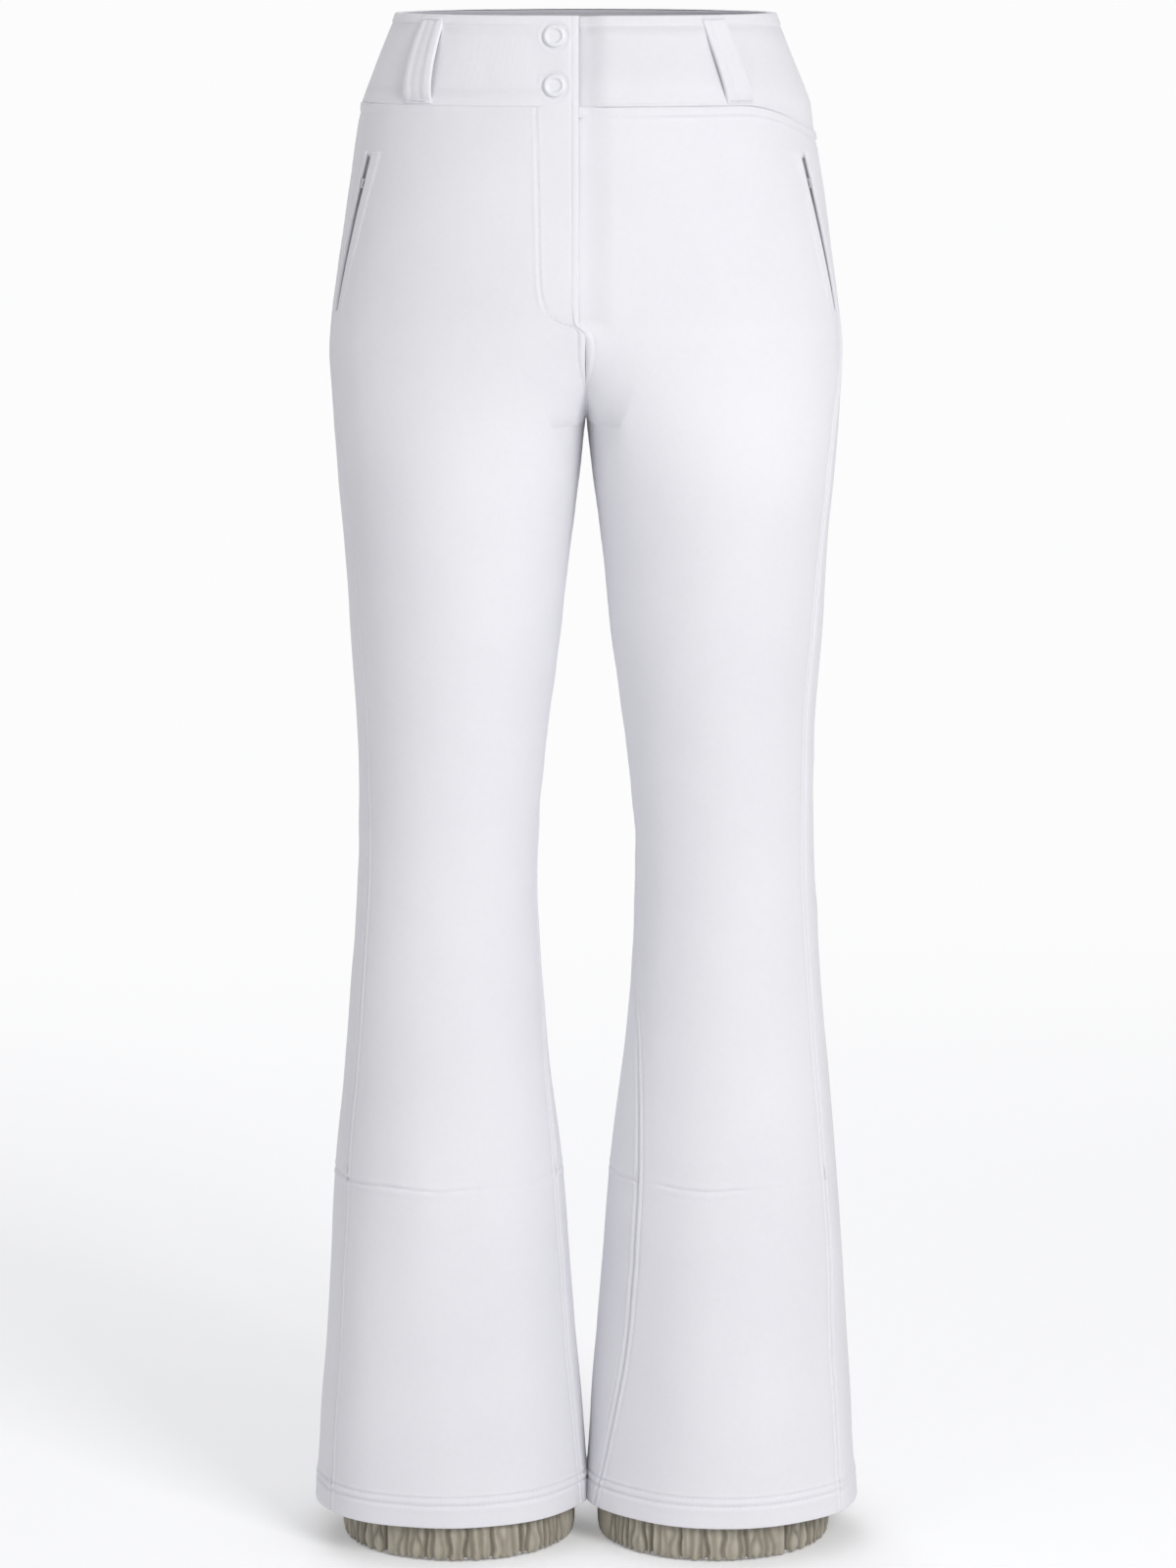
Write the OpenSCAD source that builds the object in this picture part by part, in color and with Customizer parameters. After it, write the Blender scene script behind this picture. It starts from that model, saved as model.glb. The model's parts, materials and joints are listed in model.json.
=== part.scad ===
// Ski pants: softshell legs, flared waistband, snapped fly flap over a zip,
// zipped hand pockets, and an elastic snow gaiter inside each leg.
// +Z is up, the front faces -Y and the wearer's left is +X.
// The origin is on the floor plane, midway between the two gaiters.

/* [Heights] */
// Top edge of the waistband
waist_top_z = 1098; // [1094:1:1102]
// Height of the waistband
band_h = 65; // [63:1:67]
// Widest level of the hips
hip_z = 865; // [861:1:869]
// Point where the two legs part
crotch_z = 804; // [800:1:808]
// Middle of the thigh
thigh_z = 670; // [660:1:680]
// Bend of the knee
knee_z = 500; // [492:1:508]
// Middle of the calf
calf_z = 361; // [351:1:371]
// Seam that holds the gaiter sleeve inside the leg
gaiter_seam_z = 262; // [255:1:270]
// Bottom edge of the outer leg
hem_z = 25; // [22:1:28]

/* [Outer seam, distance from the centre plane] */
// At the waistband's top edge
waist_w = 137; // [134:0.5:140]
// At the waist seam
seam_w = 162.5; // [160:0.5:165]
// At the hips
hip_w = 184.6; // [182:0.1:187]
// At the crotch
crotch_w = 183; // [181:0.5:185]
// At the thigh
thigh_w = 171.5; // [169:0.5:174]
// At the knee
knee_w = 164.5; // [162:0.5:167]
// At the calf
calf_w = 173; // [171:0.5:176]
// At the gaiter seam
boot_w = 182; // [180:0.5:185]
// At the hem
hem_w = 195; // [192:0.5:198]

/* [Inseam, distance from the centre plane] */
// At the crotch
crotch_in = 1; // [0.8:0.1:1.5]
// At the thigh
thigh_in = 16; // [14:0.5:18]
// At the knee
knee_in = 35.5; // [33:0.5:37]
// At the calf
calf_in = 29; // [27:0.5:31]
// At the gaiter seam
boot_in = 17.5; // [15:0.5:19]
// At the hem
hem_in = 1.2; // [0.8:0.1:3]

/* [Depth from the side seam to the front, and to the back] */
// Front depth at the waistband's top edge
waist_front = 94; // [92:1:96]
// Back depth at the waistband's top edge
waist_back = 102; // [100:1:104]
// Front depth at the waist seam
seam_front = 101; // [100:1:102]
// Back depth at the waist seam
seam_back = 113; // [111:1:115]
// Front depth at the hips
hip_front = 106; // [105:1:107]
// Back depth at the hips
hip_back = 128; // [125:1:130]
// Front depth at the crotch
crotch_front = 99; // [97:1:101]
// Back depth at the crotch
crotch_back = 117; // [115:1:119]
// Front depth at the thigh
thigh_front_d = 84; // [82:1:86]
// Back depth at the thigh
thigh_back_d = 94; // [92:1:96]
// Front depth at the knee
knee_front = 67; // [65:1:69]
// Back depth at the knee
knee_back = 70; // [68:1:72]
// Front depth at the calf
calf_front = 72; // [70:1:74]
// Back depth at the calf
calf_back = 78; // [76:1:80]
// Front depth at the gaiter seam
boot_front = 80; // [79:1:82]
// Back depth at the gaiter seam
boot_back = 88; // [86:1:90]
// Front depth at the hem
hem_front = 88; // [87:1:90]
// Back depth at the hem
hem_back = 98; // [96:1:100]

/* [Cloth] */
// Thickness of the softshell laminate
shell_t = 1.4; // [1.2:0.1:1.5]
// Clear gap between two panels that share a seam
seam_gap = 0.8; // [0.6:0.1:1]
// Depth of the folded hem
hem_fold_h = 18; // [14:1:22]

/* [Hip and knee bend] */
// Height of the hip axis above the crotch
hip_axis_rise = 95; // [93:1:97]
// Radius of the cut between the seat and the legs, about the hip axis
hip_cut_r = 138; // [137:0.5:140]
// Radius of the cut between thigh and shin, about the knee axis
knee_cut_r = 107; // [106:0.5:109]
// Clear gap across either cut
bend_gap = 2.5; // [2.4:0.1:3]

/* [Fly] */
// Height of the fly's lower end
fly_bottom_z = 880; // [878:1:882]
// How far the flap's free edge lies to the wearer's right of the centre
flap_edge_x = 5.2; // [5:0.1:5.6]
// Half width of the flap at its lower end
fold_bottom_x = 8; // [7.5:0.5:9]
// Distance of the flap's fold from the centre, at the waistband's top
fold_top_x = 40.5; // [40:0.5:42]
// Distance of the zip from the centre, towards the wearer's right
zip_x = 17; // [16:0.5:18]
// Depth of the zip tapes below the outer surface of the front
zip_depth = 10; // [9.5:0.5:10.5]

/* [Snaps] */
// Outer radius of a snap cap
cap_r = 8; // [7:0.5:8.2]
// Distance of the snaps from the centre
snap_x = 22.2; // [21.5:0.1:23]
// Height of the upper snap
snap_top_z = 1083; // [1081:1:1084]
// Distance between the two snaps
snap_pitch = 35; // [32:1:36]

/* [Hand pockets] */
// Length of a pocket zip
pocket_len = 105; // [98:1:108]
// Height of the pocket's upper end
pocket_top_z = 990; // [985:1:995]
// Angle round the waist from the front to the pocket's upper end
pocket_top_a = 69; // [67:1:71]
// Angle round the waist from the front to the pocket's lower end
pocket_low_a = 79; // [77:1:81]

/* [Gaiters] */
// Outer radius of the elastic casing
cuff_r = 82; // [80:0.5:82.5]
// Height of the elastic casing
cuff_h = 26; // [22:1:26]
// Distance of the casing's axis from the centre plane
cuff_x = 92; // [90:1:94]
// Wall of the casing
cuff_wall = 1; // [0.8:0.1:1.2]
// Radial thickness of the elastic
elastic_t = 2.2; // [1.8:0.1:2.4]

/* [Hidden] */

shell_colour = "#f6f5fb";
lining_colour = "#e4e3ea";
gaiter_colour = "#aaa390";
metal_colour = "#c9cbd0";
tape_colour = "#eceaf2";

seam_z = waist_top_z - band_h;
hip_axis_z = crotch_z + hip_axis_rise;
front_rise = 75;
back_rise = 110;
fly_top_z = seam_z - 3;
flap_gap = 1.7;
fly_sink = 3.4;
underlap_sink = 5.6;
underlap_x = 38;
snap_clearance = 1.2;
stud_r = 3;

// Outlines as [height, distance] stations, from the floor up.
outer_line = [
    [hem_z, hem_w], [gaiter_seam_z, boot_w], [calf_z, calf_w], [knee_z, knee_w],
    [thigh_z, thigh_w], [crotch_z, crotch_w], [hip_z, hip_w], [seam_z, seam_w]
];
inner_line = [
    [hem_z, hem_in], [gaiter_seam_z, boot_in], [calf_z, calf_in], [knee_z, knee_in],
    [thigh_z, thigh_in], [crotch_z, crotch_in]
];
front_line = [
    [hem_z, hem_front], [gaiter_seam_z, boot_front], [calf_z, calf_front], [knee_z, knee_front],
    [thigh_z, thigh_front_d], [crotch_z, crotch_front], [hip_z, hip_front], [seam_z, seam_front]
];
back_line = [
    [hem_z, hem_back], [gaiter_seam_z, boot_back], [calf_z, calf_back], [knee_z, knee_back],
    [thigh_z, thigh_back_d], [crotch_z, crotch_back], [hip_z, hip_back], [seam_z, seam_back]
];

function lerp(a, b, t) = a + (b - a) * t;
function clamp01(t) = max(0, min(1, t));
function smooth(t) = let (c = clamp01(t)) c * c * (3 - 2 * c);

// Smooth curve through the stations: a cubic between neighbours with shared slopes.
function span(p, z, i = 0) = (i >= len(p) - 2 || z <= p[i + 1][0]) ? i : span(p, z, i + 1);
function slope(p, i) =
    let (a = p[max(i - 1, 0)], b = p[min(i + 1, len(p) - 1)]) (b[1] - a[1]) / (b[0] - a[0]);
function cubic(t, h, v0, m0, v1, m1) =
    (2 * t ^ 3 - 3 * t ^ 2 + 1) * v0 + (t ^ 3 - 2 * t ^ 2 + t) * h * m0
    + (3 * t ^ 2 - 2 * t ^ 3) * v1 + (t ^ 3 - t ^ 2) * h * m1;
function profile(p, z) =
    let (i = span(p, z), h = p[i + 1][0] - p[i][0])
    cubic((z - p[i][0]) / h, h, p[i][1], slope(p, i), p[i + 1][1], slope(p, i + 1));

function band_share(z) = (z - seam_z) / band_h;
function half_w(z) = z > seam_z ? lerp(seam_w, waist_w, band_share(z)) : profile(outer_line, z);
function inner_x(z) = profile(inner_line, min(z, crotch_z));
function depth(z, face) =
    face > 0
    ? (z > seam_z ? lerp(seam_front, waist_front, band_share(z)) : profile(front_line, z))
    : (z > seam_z ? lerp(seam_back, waist_back, band_share(z)) : profile(back_line, z));

// Share of the way from two closed legs to one open trunk; it draws the crotch seam's curve.
function trunk_share(z, face) =
    let (t = clamp01((z - crotch_z) / (face > 0 ? front_rise : back_rise))) (1 - (1 - t) ^ 2) ^ 0.7;

// Point on the wearer's left half. u runs from the inseam or centre seam (0) to the side seam (1),
// face is 1 for the front and -1 for the back, and d is the depth below the outer surface.
function skin(u, z, face, d) =
    let (
        out = half_w(z) - d,
        inn = inner_x(z) + d,
        deep = depth(z, face) - d,
        t = trunk_share(z, face),
        leg_y = sin(180 * u),
        trunk_y = sqrt(1 - sin(90 * u) ^ 4)
    ) [lerp(inn, out, sin(90 * u) ^ 2), -face * deep * lerp(leg_y, trunk_y, t), z];
// Share u at which the open trunk has the distance x from the centre plane.
function u_at(x, z) = asin(sqrt(clamp01(x / half_w(z)))) / 90;

// Point on the trunk at angle a from the front centre; positive angles go to the wearer's left.
function waist(a, z, d) =
    let (deep = depth(z, cos(a) >= 0 ? 1 : -1) - d) [(half_w(z) - d) * sin(a), -deep * cos(a), z];
function angle_at(x, z, d) = asin(x / (half_w(z) - d));

// Height on the surface at radius r below a hip or knee axis, found by halving the interval.
function cut_z(u, face, axis_z, r, low, high, n = 14) =
    let (z = (low + high) / 2)
    n == 0
    ? z
    : (axis_z - z) ^ 2 + skin(u, z, face, 0).y ^ 2 > r ^ 2
    ? cut_z(u, face, axis_z, r, z, high, n - 1)
    : cut_z(u, face, axis_z, r, low, z, n - 1);
function hip_cut(u, face, r) = cut_z(u, face, hip_axis_z, r, hip_axis_z - r, hip_axis_z);
function knee_cut(u, face, r) = cut_z(u, face, knee_z, r, knee_z - r, knee_z);

// Closed solid between a grid of outer points and the same grid t deeper.
// at(s, j, d) gives the point at share s along row j; flip turns the faces for the other side.
module sheet(at, columns, rows, t, flip = false) {
    w = columns + 1;
    n = w * (rows + 1);
    points = [
        for (d = [0, t]) for (j = [0:rows]) for (i = [0:columns]) at(i / columns, j, d)
    ];
    skins = [
        for (j = [0:rows - 1]) for (i = [0:columns - 1])
            let (a = j * w + i, b = a + 1, c = b + w, e = a + w)
            each [[a, e, c], [a, c, b], [n + a, n + c, n + e], [n + a, n + b, n + c]]
    ];
    ends = [
        for (i = [0:columns - 1])
            let (a = i, b = i + 1, p = rows * w + i, q = p + 1)
            each [[a, b, b + n], [a, b + n, a + n], [q, p, p + n], [q, p + n, q + n]]
    ];
    sides = [
        for (j = [0:rows - 1])
            let (a = j * w, b = a + w, p = a + columns, q = p + w)
            each [[b, a, a + n], [b, a + n, b + n], [p, q, q + n], [p, q + n, p + n]]
    ];
    faces = concat(skins, ends, sides);
    polyhedron(points, flip ? [for (f = faces) [f[2], f[1], f[0]]] : faces);
}

// Share of a panel's width that keeps the seam gap open, for an arc about 300 mm long.
edge_u = seam_gap / 2 / 300;
function panel_u(s) = lerp(edge_u, 1 - edge_u, s);

// ---- Seat: the part of each leg panel above the hip cut, up to the waist seam ----

seat_columns = 16;
cut_rows = 2;
crotch_rows = 6;
upper_rows = 7;
seat_rows = cut_rows + crotch_rows + upper_rows;

// Heights of the seat's rows at the centre seam, from the cut up through the crotch curve.
function seat_level(j, face) =
    let (low = hip_axis_z - hip_cut_r, rise = face > 0 ? front_rise : back_rise)
    j <= cut_rows
    ? lerp(low, crotch_z, j / cut_rows)
    : crotch_z + rise * (1 - cos(90 * (j - cut_rows) / crotch_rows));
function seat_z(cut, j, face) =
    let (
        knot = cut_rows + crotch_rows,
        low = hip_axis_z - hip_cut_r,
        top = seat_level(knot, face),
        s = (seat_level(min(j, knot), face) - low) / (top - low)
    )
    j <= knot ? lerp(cut, top, s) : lerp(top, seam_z - seam_gap, (j - knot) / upper_rows);

// Edge of the front beside the fly: the left front runs past the centre and sinks under the flap,
// and the right front stops at the flap's fold.
function fold_x(z) = lerp(fold_bottom_x, fold_top_x, (z - fly_bottom_z) / (waist_top_z - fly_bottom_z));
function fly_share(z) = smooth((z - fly_bottom_z + 8) / 10);
function left_edge_x(z) = lerp(seam_gap / 2, flap_gap - flap_edge_x, fly_share(z));
function right_edge_x(z) = lerp(seam_gap / 2, fold_x(z) + seam_gap, fly_share(z));
function sink(x, z) = fly_share(z) * smooth((14 - x) / 17.5);

// edge is 1 for the left front, -1 for the right front and 0 for a back, whose edge is the centre seam.
function seat_point(s, j, d, face, edge, cuts) =
    let (
        z = seat_z(cuts[round(s * seat_columns)], j, face),
        open = trunk_share(z, face) >= 1,
        x0 = edge == 0 ? seam_gap / 2 : edge > 0 ? left_edge_x(z) : right_edge_x(z),
        u = lerp(open ? u_at(max(x0, 0), z) : edge_u, 1 - edge_u, s),
        p = skin(u, z, face, d + (edge > 0 ? fly_sink * sink(lerp(x0, half_w(z), u ^ 2), z) : 0)),
        slide = edge > 0 && x0 < 0 ? x0 * (1 - s) ^ 4 : 0
    ) [max(p.x, open ? 0 : seam_gap / 2) + slide, p.y, z];

module seat_panel(face, edge) {
    cuts = [for (i = [0:seat_columns]) hip_cut(panel_u(i / seat_columns), face, hip_cut_r)];
    sheet(
        function (s, j, d) seat_point(s, j, d, face, edge, cuts),
        seat_columns, seat_rows, shell_t, face < 0
    );
}
// Slot that a pocket zip shows through.
module pocket_slot() {
    on_pocket()
        translate([-slot_w / 2, -20, -3]) cube([slot_w, 40, pocket_zip_len + 6]);
}
module hip_front_left() {
    color(shell_colour)
        difference() {
            seat_panel(1, 1);
            pocket_slot();
        }
}
module hip_front_right() {
    color(shell_colour)
        mirror([1, 0, 0])
            difference() {
                seat_panel(1, -1);
                pocket_slot();
            }
}
module hip_back_left() {
    color(shell_colour) seat_panel(-1, 0);
}
module hip_back_right() {
    color(shell_colour) mirror([1, 0, 0]) seat_panel(-1, 0);
}

// ---- Legs: thigh between the two cuts, shin from the knee cut to the hem ----

leg_columns = 14;
thigh_rows = 8;
shin_rows = 10;

module thigh_panel(face) {
    shares = [for (i = [0:leg_columns]) panel_u(i / leg_columns)];
    low = [for (u = shares) knee_cut(u, face, knee_cut_r)];
    high = [for (u = shares) hip_cut(u, face, hip_cut_r + bend_gap)];
    sheet(
        function (s, j, d)
            let (i = round(s * leg_columns))
            skin(shares[i], lerp(low[i], high[i], j / thigh_rows), face, d),
        leg_columns, thigh_rows, shell_t, face < 0
    );
}
module shin_panel(face) {
    shares = [for (i = [0:leg_columns]) panel_u(i / leg_columns)];
    high = [for (u = shares) knee_cut(u, face, knee_cut_r + bend_gap)];
    sheet(
        function (s, j, d)
            let (i = round(s * leg_columns))
            skin(shares[i], lerp(hem_z, high[i], j / shin_rows), face, d),
        leg_columns, shin_rows, shell_t, face < 0
    );
}
module thigh_front_left() {
    color(shell_colour) thigh_panel(1);
}
module thigh_front_right() {
    color(shell_colour) mirror([1, 0, 0]) thigh_panel(1);
}
module thigh_back_left() {
    color(shell_colour) thigh_panel(-1);
}
module thigh_back_right() {
    color(shell_colour) mirror([1, 0, 0]) thigh_panel(-1);
}
module shin_front_left() {
    color(shell_colour) shin_panel(1);
}
module shin_front_right() {
    color(shell_colour) mirror([1, 0, 0]) shin_panel(1);
}
module shin_back_left() {
    color(shell_colour) shin_panel(-1);
}
module shin_back_right() {
    color(shell_colour) mirror([1, 0, 0]) shin_panel(-1);
}

// Point on a closed ring round the leg: w runs inseam, front, side seam, back, inseam.
function leg_ring(w, z, d) = w <= 0.5 ? skin(2 * w, z, 1, d) : skin(2 - 2 * w, z, -1, d);
ring_columns = 28;
ring_edge = 0.0015;
function ring_w(s) = lerp(ring_edge, 1 - ring_edge, s);

module hem_fold() {
    sheet(
        function (s, j, d) leg_ring(ring_w(s), hem_z + 1 + hem_fold_h * j, shell_t + 0.5 + d),
        ring_columns, 1, shell_t
    );
}
module hem_fold_left() {
    color(shell_colour) hem_fold();
}
module hem_fold_right() {
    color(shell_colour) mirror([1, 0, 0]) hem_fold();
}

// ---- Gaiters ----

sleeve_rows = 6;
sleeve_t = 0.8;
function sleeve_point(s, j, d) =
    let (
        w = ring_w(s),
        share = j / sleeve_rows,
        z = lerp(cuff_h + 1, gaiter_seam_z, share),
        top = leg_ring(w, z, 2 * shell_t + 1.2 + d),
        r = cuff_r - 1 - d,
        foot = [cuff_x - r * cos(360 * w), -r * sin(360 * w), z]
    ) lerp(foot, top, smooth(share));

module gaiter_sleeve() {
    sheet(function (s, j, d) sleeve_point(s, j, d), ring_columns, sleeve_rows, sleeve_t);
}
// The elastic's own inner face, which is what grips the boot.
grip_r = cuff_r - cuff_wall - 0.2 - elastic_t;
module gaiter_cuff() {
    inner_r = cuff_r - cuff_wall - 0.8;
    pocket_h = cuff_h - 2 * cuff_wall;
    translate([cuff_x, 0, 0])
        rotate_extrude($fn = 96)
            difference() {
                translate([inner_r, 0]) square([cuff_r - inner_r, cuff_h]);
                translate([inner_r - 1, cuff_wall]) square([cuff_r - cuff_wall - inner_r + 1, pocket_h]);
            }
}
module gaiter_elastic() {
    translate([cuff_x, 0, cuff_wall + 0.2])
        rotate_extrude($fn = 96)
            translate([grip_r, 0]) square([elastic_t, cuff_h - 2 * cuff_wall - 0.4]);
}
module gaiter_sleeve_left() {
    color(gaiter_colour) gaiter_sleeve();
}
module gaiter_sleeve_right() {
    color(gaiter_colour) mirror([1, 0, 0]) gaiter_sleeve();
}
module gaiter_cuff_left() {
    color(gaiter_colour) gaiter_cuff();
}
module gaiter_cuff_right() {
    color(gaiter_colour) mirror([1, 0, 0]) gaiter_cuff();
}
module gaiter_elastic_left() {
    color(lining_colour) gaiter_elastic();
}
module gaiter_elastic_right() {
    color(lining_colour) mirror([1, 0, 0]) gaiter_elastic();
}

// ---- Waistband ----

band_rows = 4;
band_low_z = seam_z + seam_gap / 2;
function band_z(j) = lerp(band_low_z, waist_top_z - 1, j / band_rows);

// Strip of the waistband between two angles, at depths d0 to d0 + t and heights z0 to z1.
module band_strip(a0, a1, d0, t, z0, z1, columns = 12) {
    sheet(
        function (s, j, d) waist(lerp(a0, a1, s), lerp(z0, z1, j / band_rows), d0 + d),
        columns, band_rows, t
    );
}

// The left band runs past the centre and sinks below the flap, to carry the studs.
function left_band_point(s, j, d) =
    let (
        z = band_z(j),
        a = lerp(angle_at(-underlap_x, z, 0), 90 - 0.2, s ^ 1.4),
        x = half_w(z) * sin(a)
    ) waist(a, z, d + underlap_sink * smooth((16 - x) / 20));

module waistband_left() {
    color(shell_colour)
        sheet(function (s, j, d) left_band_point(s, j, d), 26, band_rows, shell_t);
}
module waistband_right() {
    color(shell_colour)
        mirror([1, 0, 0])
            sheet(
                function (s, j, d)
                    let (z = band_z(j), a0 = angle_at(fold_x(z) + seam_gap, z, 0))
                    waist(lerp(a0, 90 - 0.2, s), z, d),
                12, band_rows, shell_t
            );
}
module waistband_back() {
    color(shell_colour) band_strip(90.2, 269.8, 0, shell_t, band_low_z, waist_top_z - 1, 28);
}
binding_h = 7;
module waistband_binding() {
    color(shell_colour) {
        band_strip(14, 179.8, -1.6, 1, waist_top_z - binding_h, waist_top_z, 24);
        band_strip(180.2, 342, -1.6, 1, waist_top_z - binding_h, waist_top_z, 24);
    }
}
module waistband_facing() {
    color(lining_colour) {
        band_strip(12, 89.8, 2.9, 0.8, band_low_z + 2, waist_top_z - 2);
        band_strip(90.2, 269.8, 2.9, 0.8, band_low_z + 2, waist_top_z - 2, 28);
        band_strip(270.2, 340, 2.9, 0.8, band_low_z + 2, waist_top_z - 2);
    }
}
module waist_elastic() {
    color(lining_colour) band_strip(102, 258, shell_t + 0.2, 1.1, seam_z + 12, waist_top_z - 14, 24);
}

// Loop that stands off the band in the middle and is caught above and below.
loop_rows = 6;
module belt_loop(top_a, low_a, half_a) {
    sheet(
        function (s, j, d)
            let (v = j / loop_rows, mid = lerp(low_a, top_a, v), stand = 2.2 + 1.6 * sin(180 * v))
            waist(mid + half_a * (2 * s - 1), lerp(seam_z + 2, waist_top_z - binding_h - 1, v), d - stand),
        3, loop_rows, 1.6
    );
}
module belt_loops_front() {
    color(shell_colour) {
        belt_loop(41, 43, 4.6);
        belt_loop(-52.4, -48, 4.8);
    }
}
module belt_loops_back() {
    color(shell_colour) {
        for (side = [0, 1])
            mirror([side, 0, 0]) belt_loop(122, 124, 5.2);
        belt_loop(180, 180, 5.2);
    }
}

// ---- Fly ----

// Sheet of the flap between its fold and its free edge, with margins from either.
module flap_sheet(z0, z1, fold_margin, edge_margin, d0, t, rows) {
    mirror([1, 0, 0])
        sheet(
            function (s, j, d)
                let (
                    z = lerp(z0, z1, j / rows),
                    x = lerp(flap_edge_x + edge_margin, fold_x(z) - fold_margin, s)
                ) waist(angle_at(x, z, 0), z, d0 + d),
            4, rows, t
        );
}
module flap_band() {
    color(shell_colour) flap_sheet(band_low_z, waist_top_z - 0.5, 0.2, 0, 0, shell_t, band_rows);
}
module flap_front() {
    color(shell_colour) flap_sheet(fly_bottom_z + 8, seam_z - seam_gap / 2, 0.2, 0, 0, shell_t, 8);
}
module flap_facing() {
    color(lining_colour) flap_sheet(fly_bottom_z + 24, seam_z - 2, 1.2, 2, shell_t + 0.3, 0.8, 8);
}
module fly_shield() {
    color(lining_colour)
        sheet(
            function (s, j, d)
                let (z = lerp(fly_bottom_z + 2, fly_top_z, j / 6), x = lerp(-40, 12, s))
                waist(angle_at(x, z, 0), z, zip_depth + 5 + d),
            6, 6, 0.8
        );
}

// Frame on the front surface at (x, z), its own +Z pointing out of the cloth.
module on_front(x, z, d) {
    a = angle_at(x, z, 0);
    p = waist(a, z, d);
    across = waist(a + 0.5, z, d) - waist(a - 0.5, z, d);
    up = waist(a, z + 1, d) - waist(a, z - 1, d);
    normal = cross(across, up);
    translate(p)
        rotate([0, acos(normal.z / norm(normal)), atan2(normal.y, normal.x)]) children();
}
module at_snaps(d) {
    for (z = [snap_top_z, snap_top_z - snap_pitch])
        on_front(-snap_x, z, d) children();
}
module snap_caps() {
    color("white")
        at_snaps(-0.1)
            rotate_extrude($fn = 64)
                polygon([
                    [0, 0], [cap_r, 0], [cap_r, 1.3], [cap_r - 0.6, 2], [cap_r - 2, 2],
                    [cap_r - 2.7, 1.1], [0, 1.1]
                ]);
}
module snap_sockets() {
    color(metal_colour)
        at_snaps(shell_t + 0.3)
            rotate_extrude($fn = 64)
                polygon([
                    [stud_r + snap_clearance, 0], [6.2, 0], [6.2, -1.4], [5.6, -2.1],
                    [stud_r + snap_clearance, -2.1]
                ]);
}
module snap_studs() {
    color(metal_colour)
        at_snaps(underlap_sink - 0.1)
            rotate_extrude($fn = 64)
                polygon([
                    [0, 0], [5.8, 0], [5.8, 0.9], [stud_r - 0.5, 0.9], [stud_r - 0.3, 1.4],
                    [stud_r, 1.9], [stud_r - 0.4, 2.4], [0, 2.5]
                ]);
}

// ---- Zips: each lies along its own local +Z from its lower end, facing local -Y ----

tooth_pitch = 3;
row_gap = 1.1;
tooth_reach = 1.6;
tooth_t = 2;
tape_t = 0.6;
slider_len = 11;
pull_bar_r = 0.8;
pull_bar_y = -3.2;

module zip_tapes(length, width, spare) {
    for (side = [0, 1])
        mirror([side, 0, 0])
            translate([row_gap / 2 + tooth_reach + 0.2, 0, -spare])
                cube([width, tape_t, length + 2 * spare]);
}
// One rail of teeth a side; the rails stand apart, so the slider's post can pass between them.
module zip_teeth(length) {
    count = floor(length / tooth_pitch);
    inner = row_gap / 2;
    teeth = [
        for (i = [0:count - 1]) each [
            [inner, (i + 0.1) * tooth_pitch], [inner, (i + 0.6) * tooth_pitch],
            [inner + 0.6, (i + 0.7) * tooth_pitch], [inner + 0.6, (i + 1) * tooth_pitch]
        ]
    ];
    for (side = [0, 1])
        mirror([side, 0, 0])
            rotate([90, 0, 0])
                translate([0, 0, -tooth_t / 2 - tape_t / 2])
                    linear_extrude(tooth_t)
                        polygon(concat([[inner + tooth_reach, 0]], teeth, [[inner + tooth_reach, length]]));
}
// Two plates joined by a post, with side flanges over the teeth and a bridge for the pull.
module zip_slider() {
    half = row_gap / 2 + tooth_reach + 1.3;
    mid = tape_t / 2;
    for (side = [-1, 1])
        translate([-half, mid + side * 1.8 - 0.5, -slider_len / 2]) cube([2 * half, 1, slider_len]);
    translate([-0.3, mid - 1.5, -slider_len / 2]) cube([0.6, 3, slider_len]);
    for (side = [0, 1])
        mirror([side, 0, 0])
            translate([half - 0.8, mid - 1.5, -slider_len / 2]) cube([0.8, 0.9, slider_len]);
    for (z = [-3.6, 2])
        translate([-1, mid - 4.9, z]) cube([2, 2.8, 1.6]);
    translate([-1, mid - 5.7, -3.6]) cube([2, 1, 7.2]);
}
// Pull that hangs on a round crossbar under the bridge; its two arms pass either side of the posts.
module zip_pull(length) {
    rotate([0, 90, 0]) cylinder(r = pull_bar_r, h = 6, center = true, $fn = 24);
    for (x = [-3, 1.5])
        translate([x, -0.5, -5.2]) cube([1.5, 1, 5.2]);
    difference() {
        translate([-3, -0.5, -length]) cube([6, 1, length - 5.2]);
        translate([0, 0, 3.5 - length])
            rotate([90, 0, 0]) cylinder(r = 1.4, h = 3, center = true, $fn = 24);
    }
}

// The fly zip lies on the straight line between its two ends, under the flap.
fly_tape_w = 12;
fly_len = fly_top_z - fly_bottom_z - 12;
fly_low_p = waist(angle_at(-zip_x, fly_bottom_z + 8, 0), fly_bottom_z + 8, zip_depth);
fly_top_p = waist(angle_at(-zip_x, fly_bottom_z + 8 + fly_len, 0), fly_bottom_z + 8 + fly_len, zip_depth);
module on_fly() {
    lean = atan2(fly_top_p.y - fly_low_p.y, fly_top_p.z - fly_low_p.z);
    translate([-zip_x, fly_low_p.y, fly_low_p.z]) rotate([-lean, 0, 0]) children();
}
module fly_zip_tapes() {
    color(tape_colour) on_fly() zip_tapes(fly_len - 8, fly_tape_w, 6);
}
module fly_zip_teeth() {
    color("white") on_fly() zip_teeth(fly_len);
}
module fly_zip_stops() {
    color(metal_colour)
        on_fly() {
            translate([-3, -1.2, -4]) cube([6, 0.9, 3.4]);
            for (side = [-1, 1])
                translate([side * 3.6 - 0.8, -1.4, fly_len - 3]) cube([1.6, 1.2, 3]);
        }
}
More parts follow.
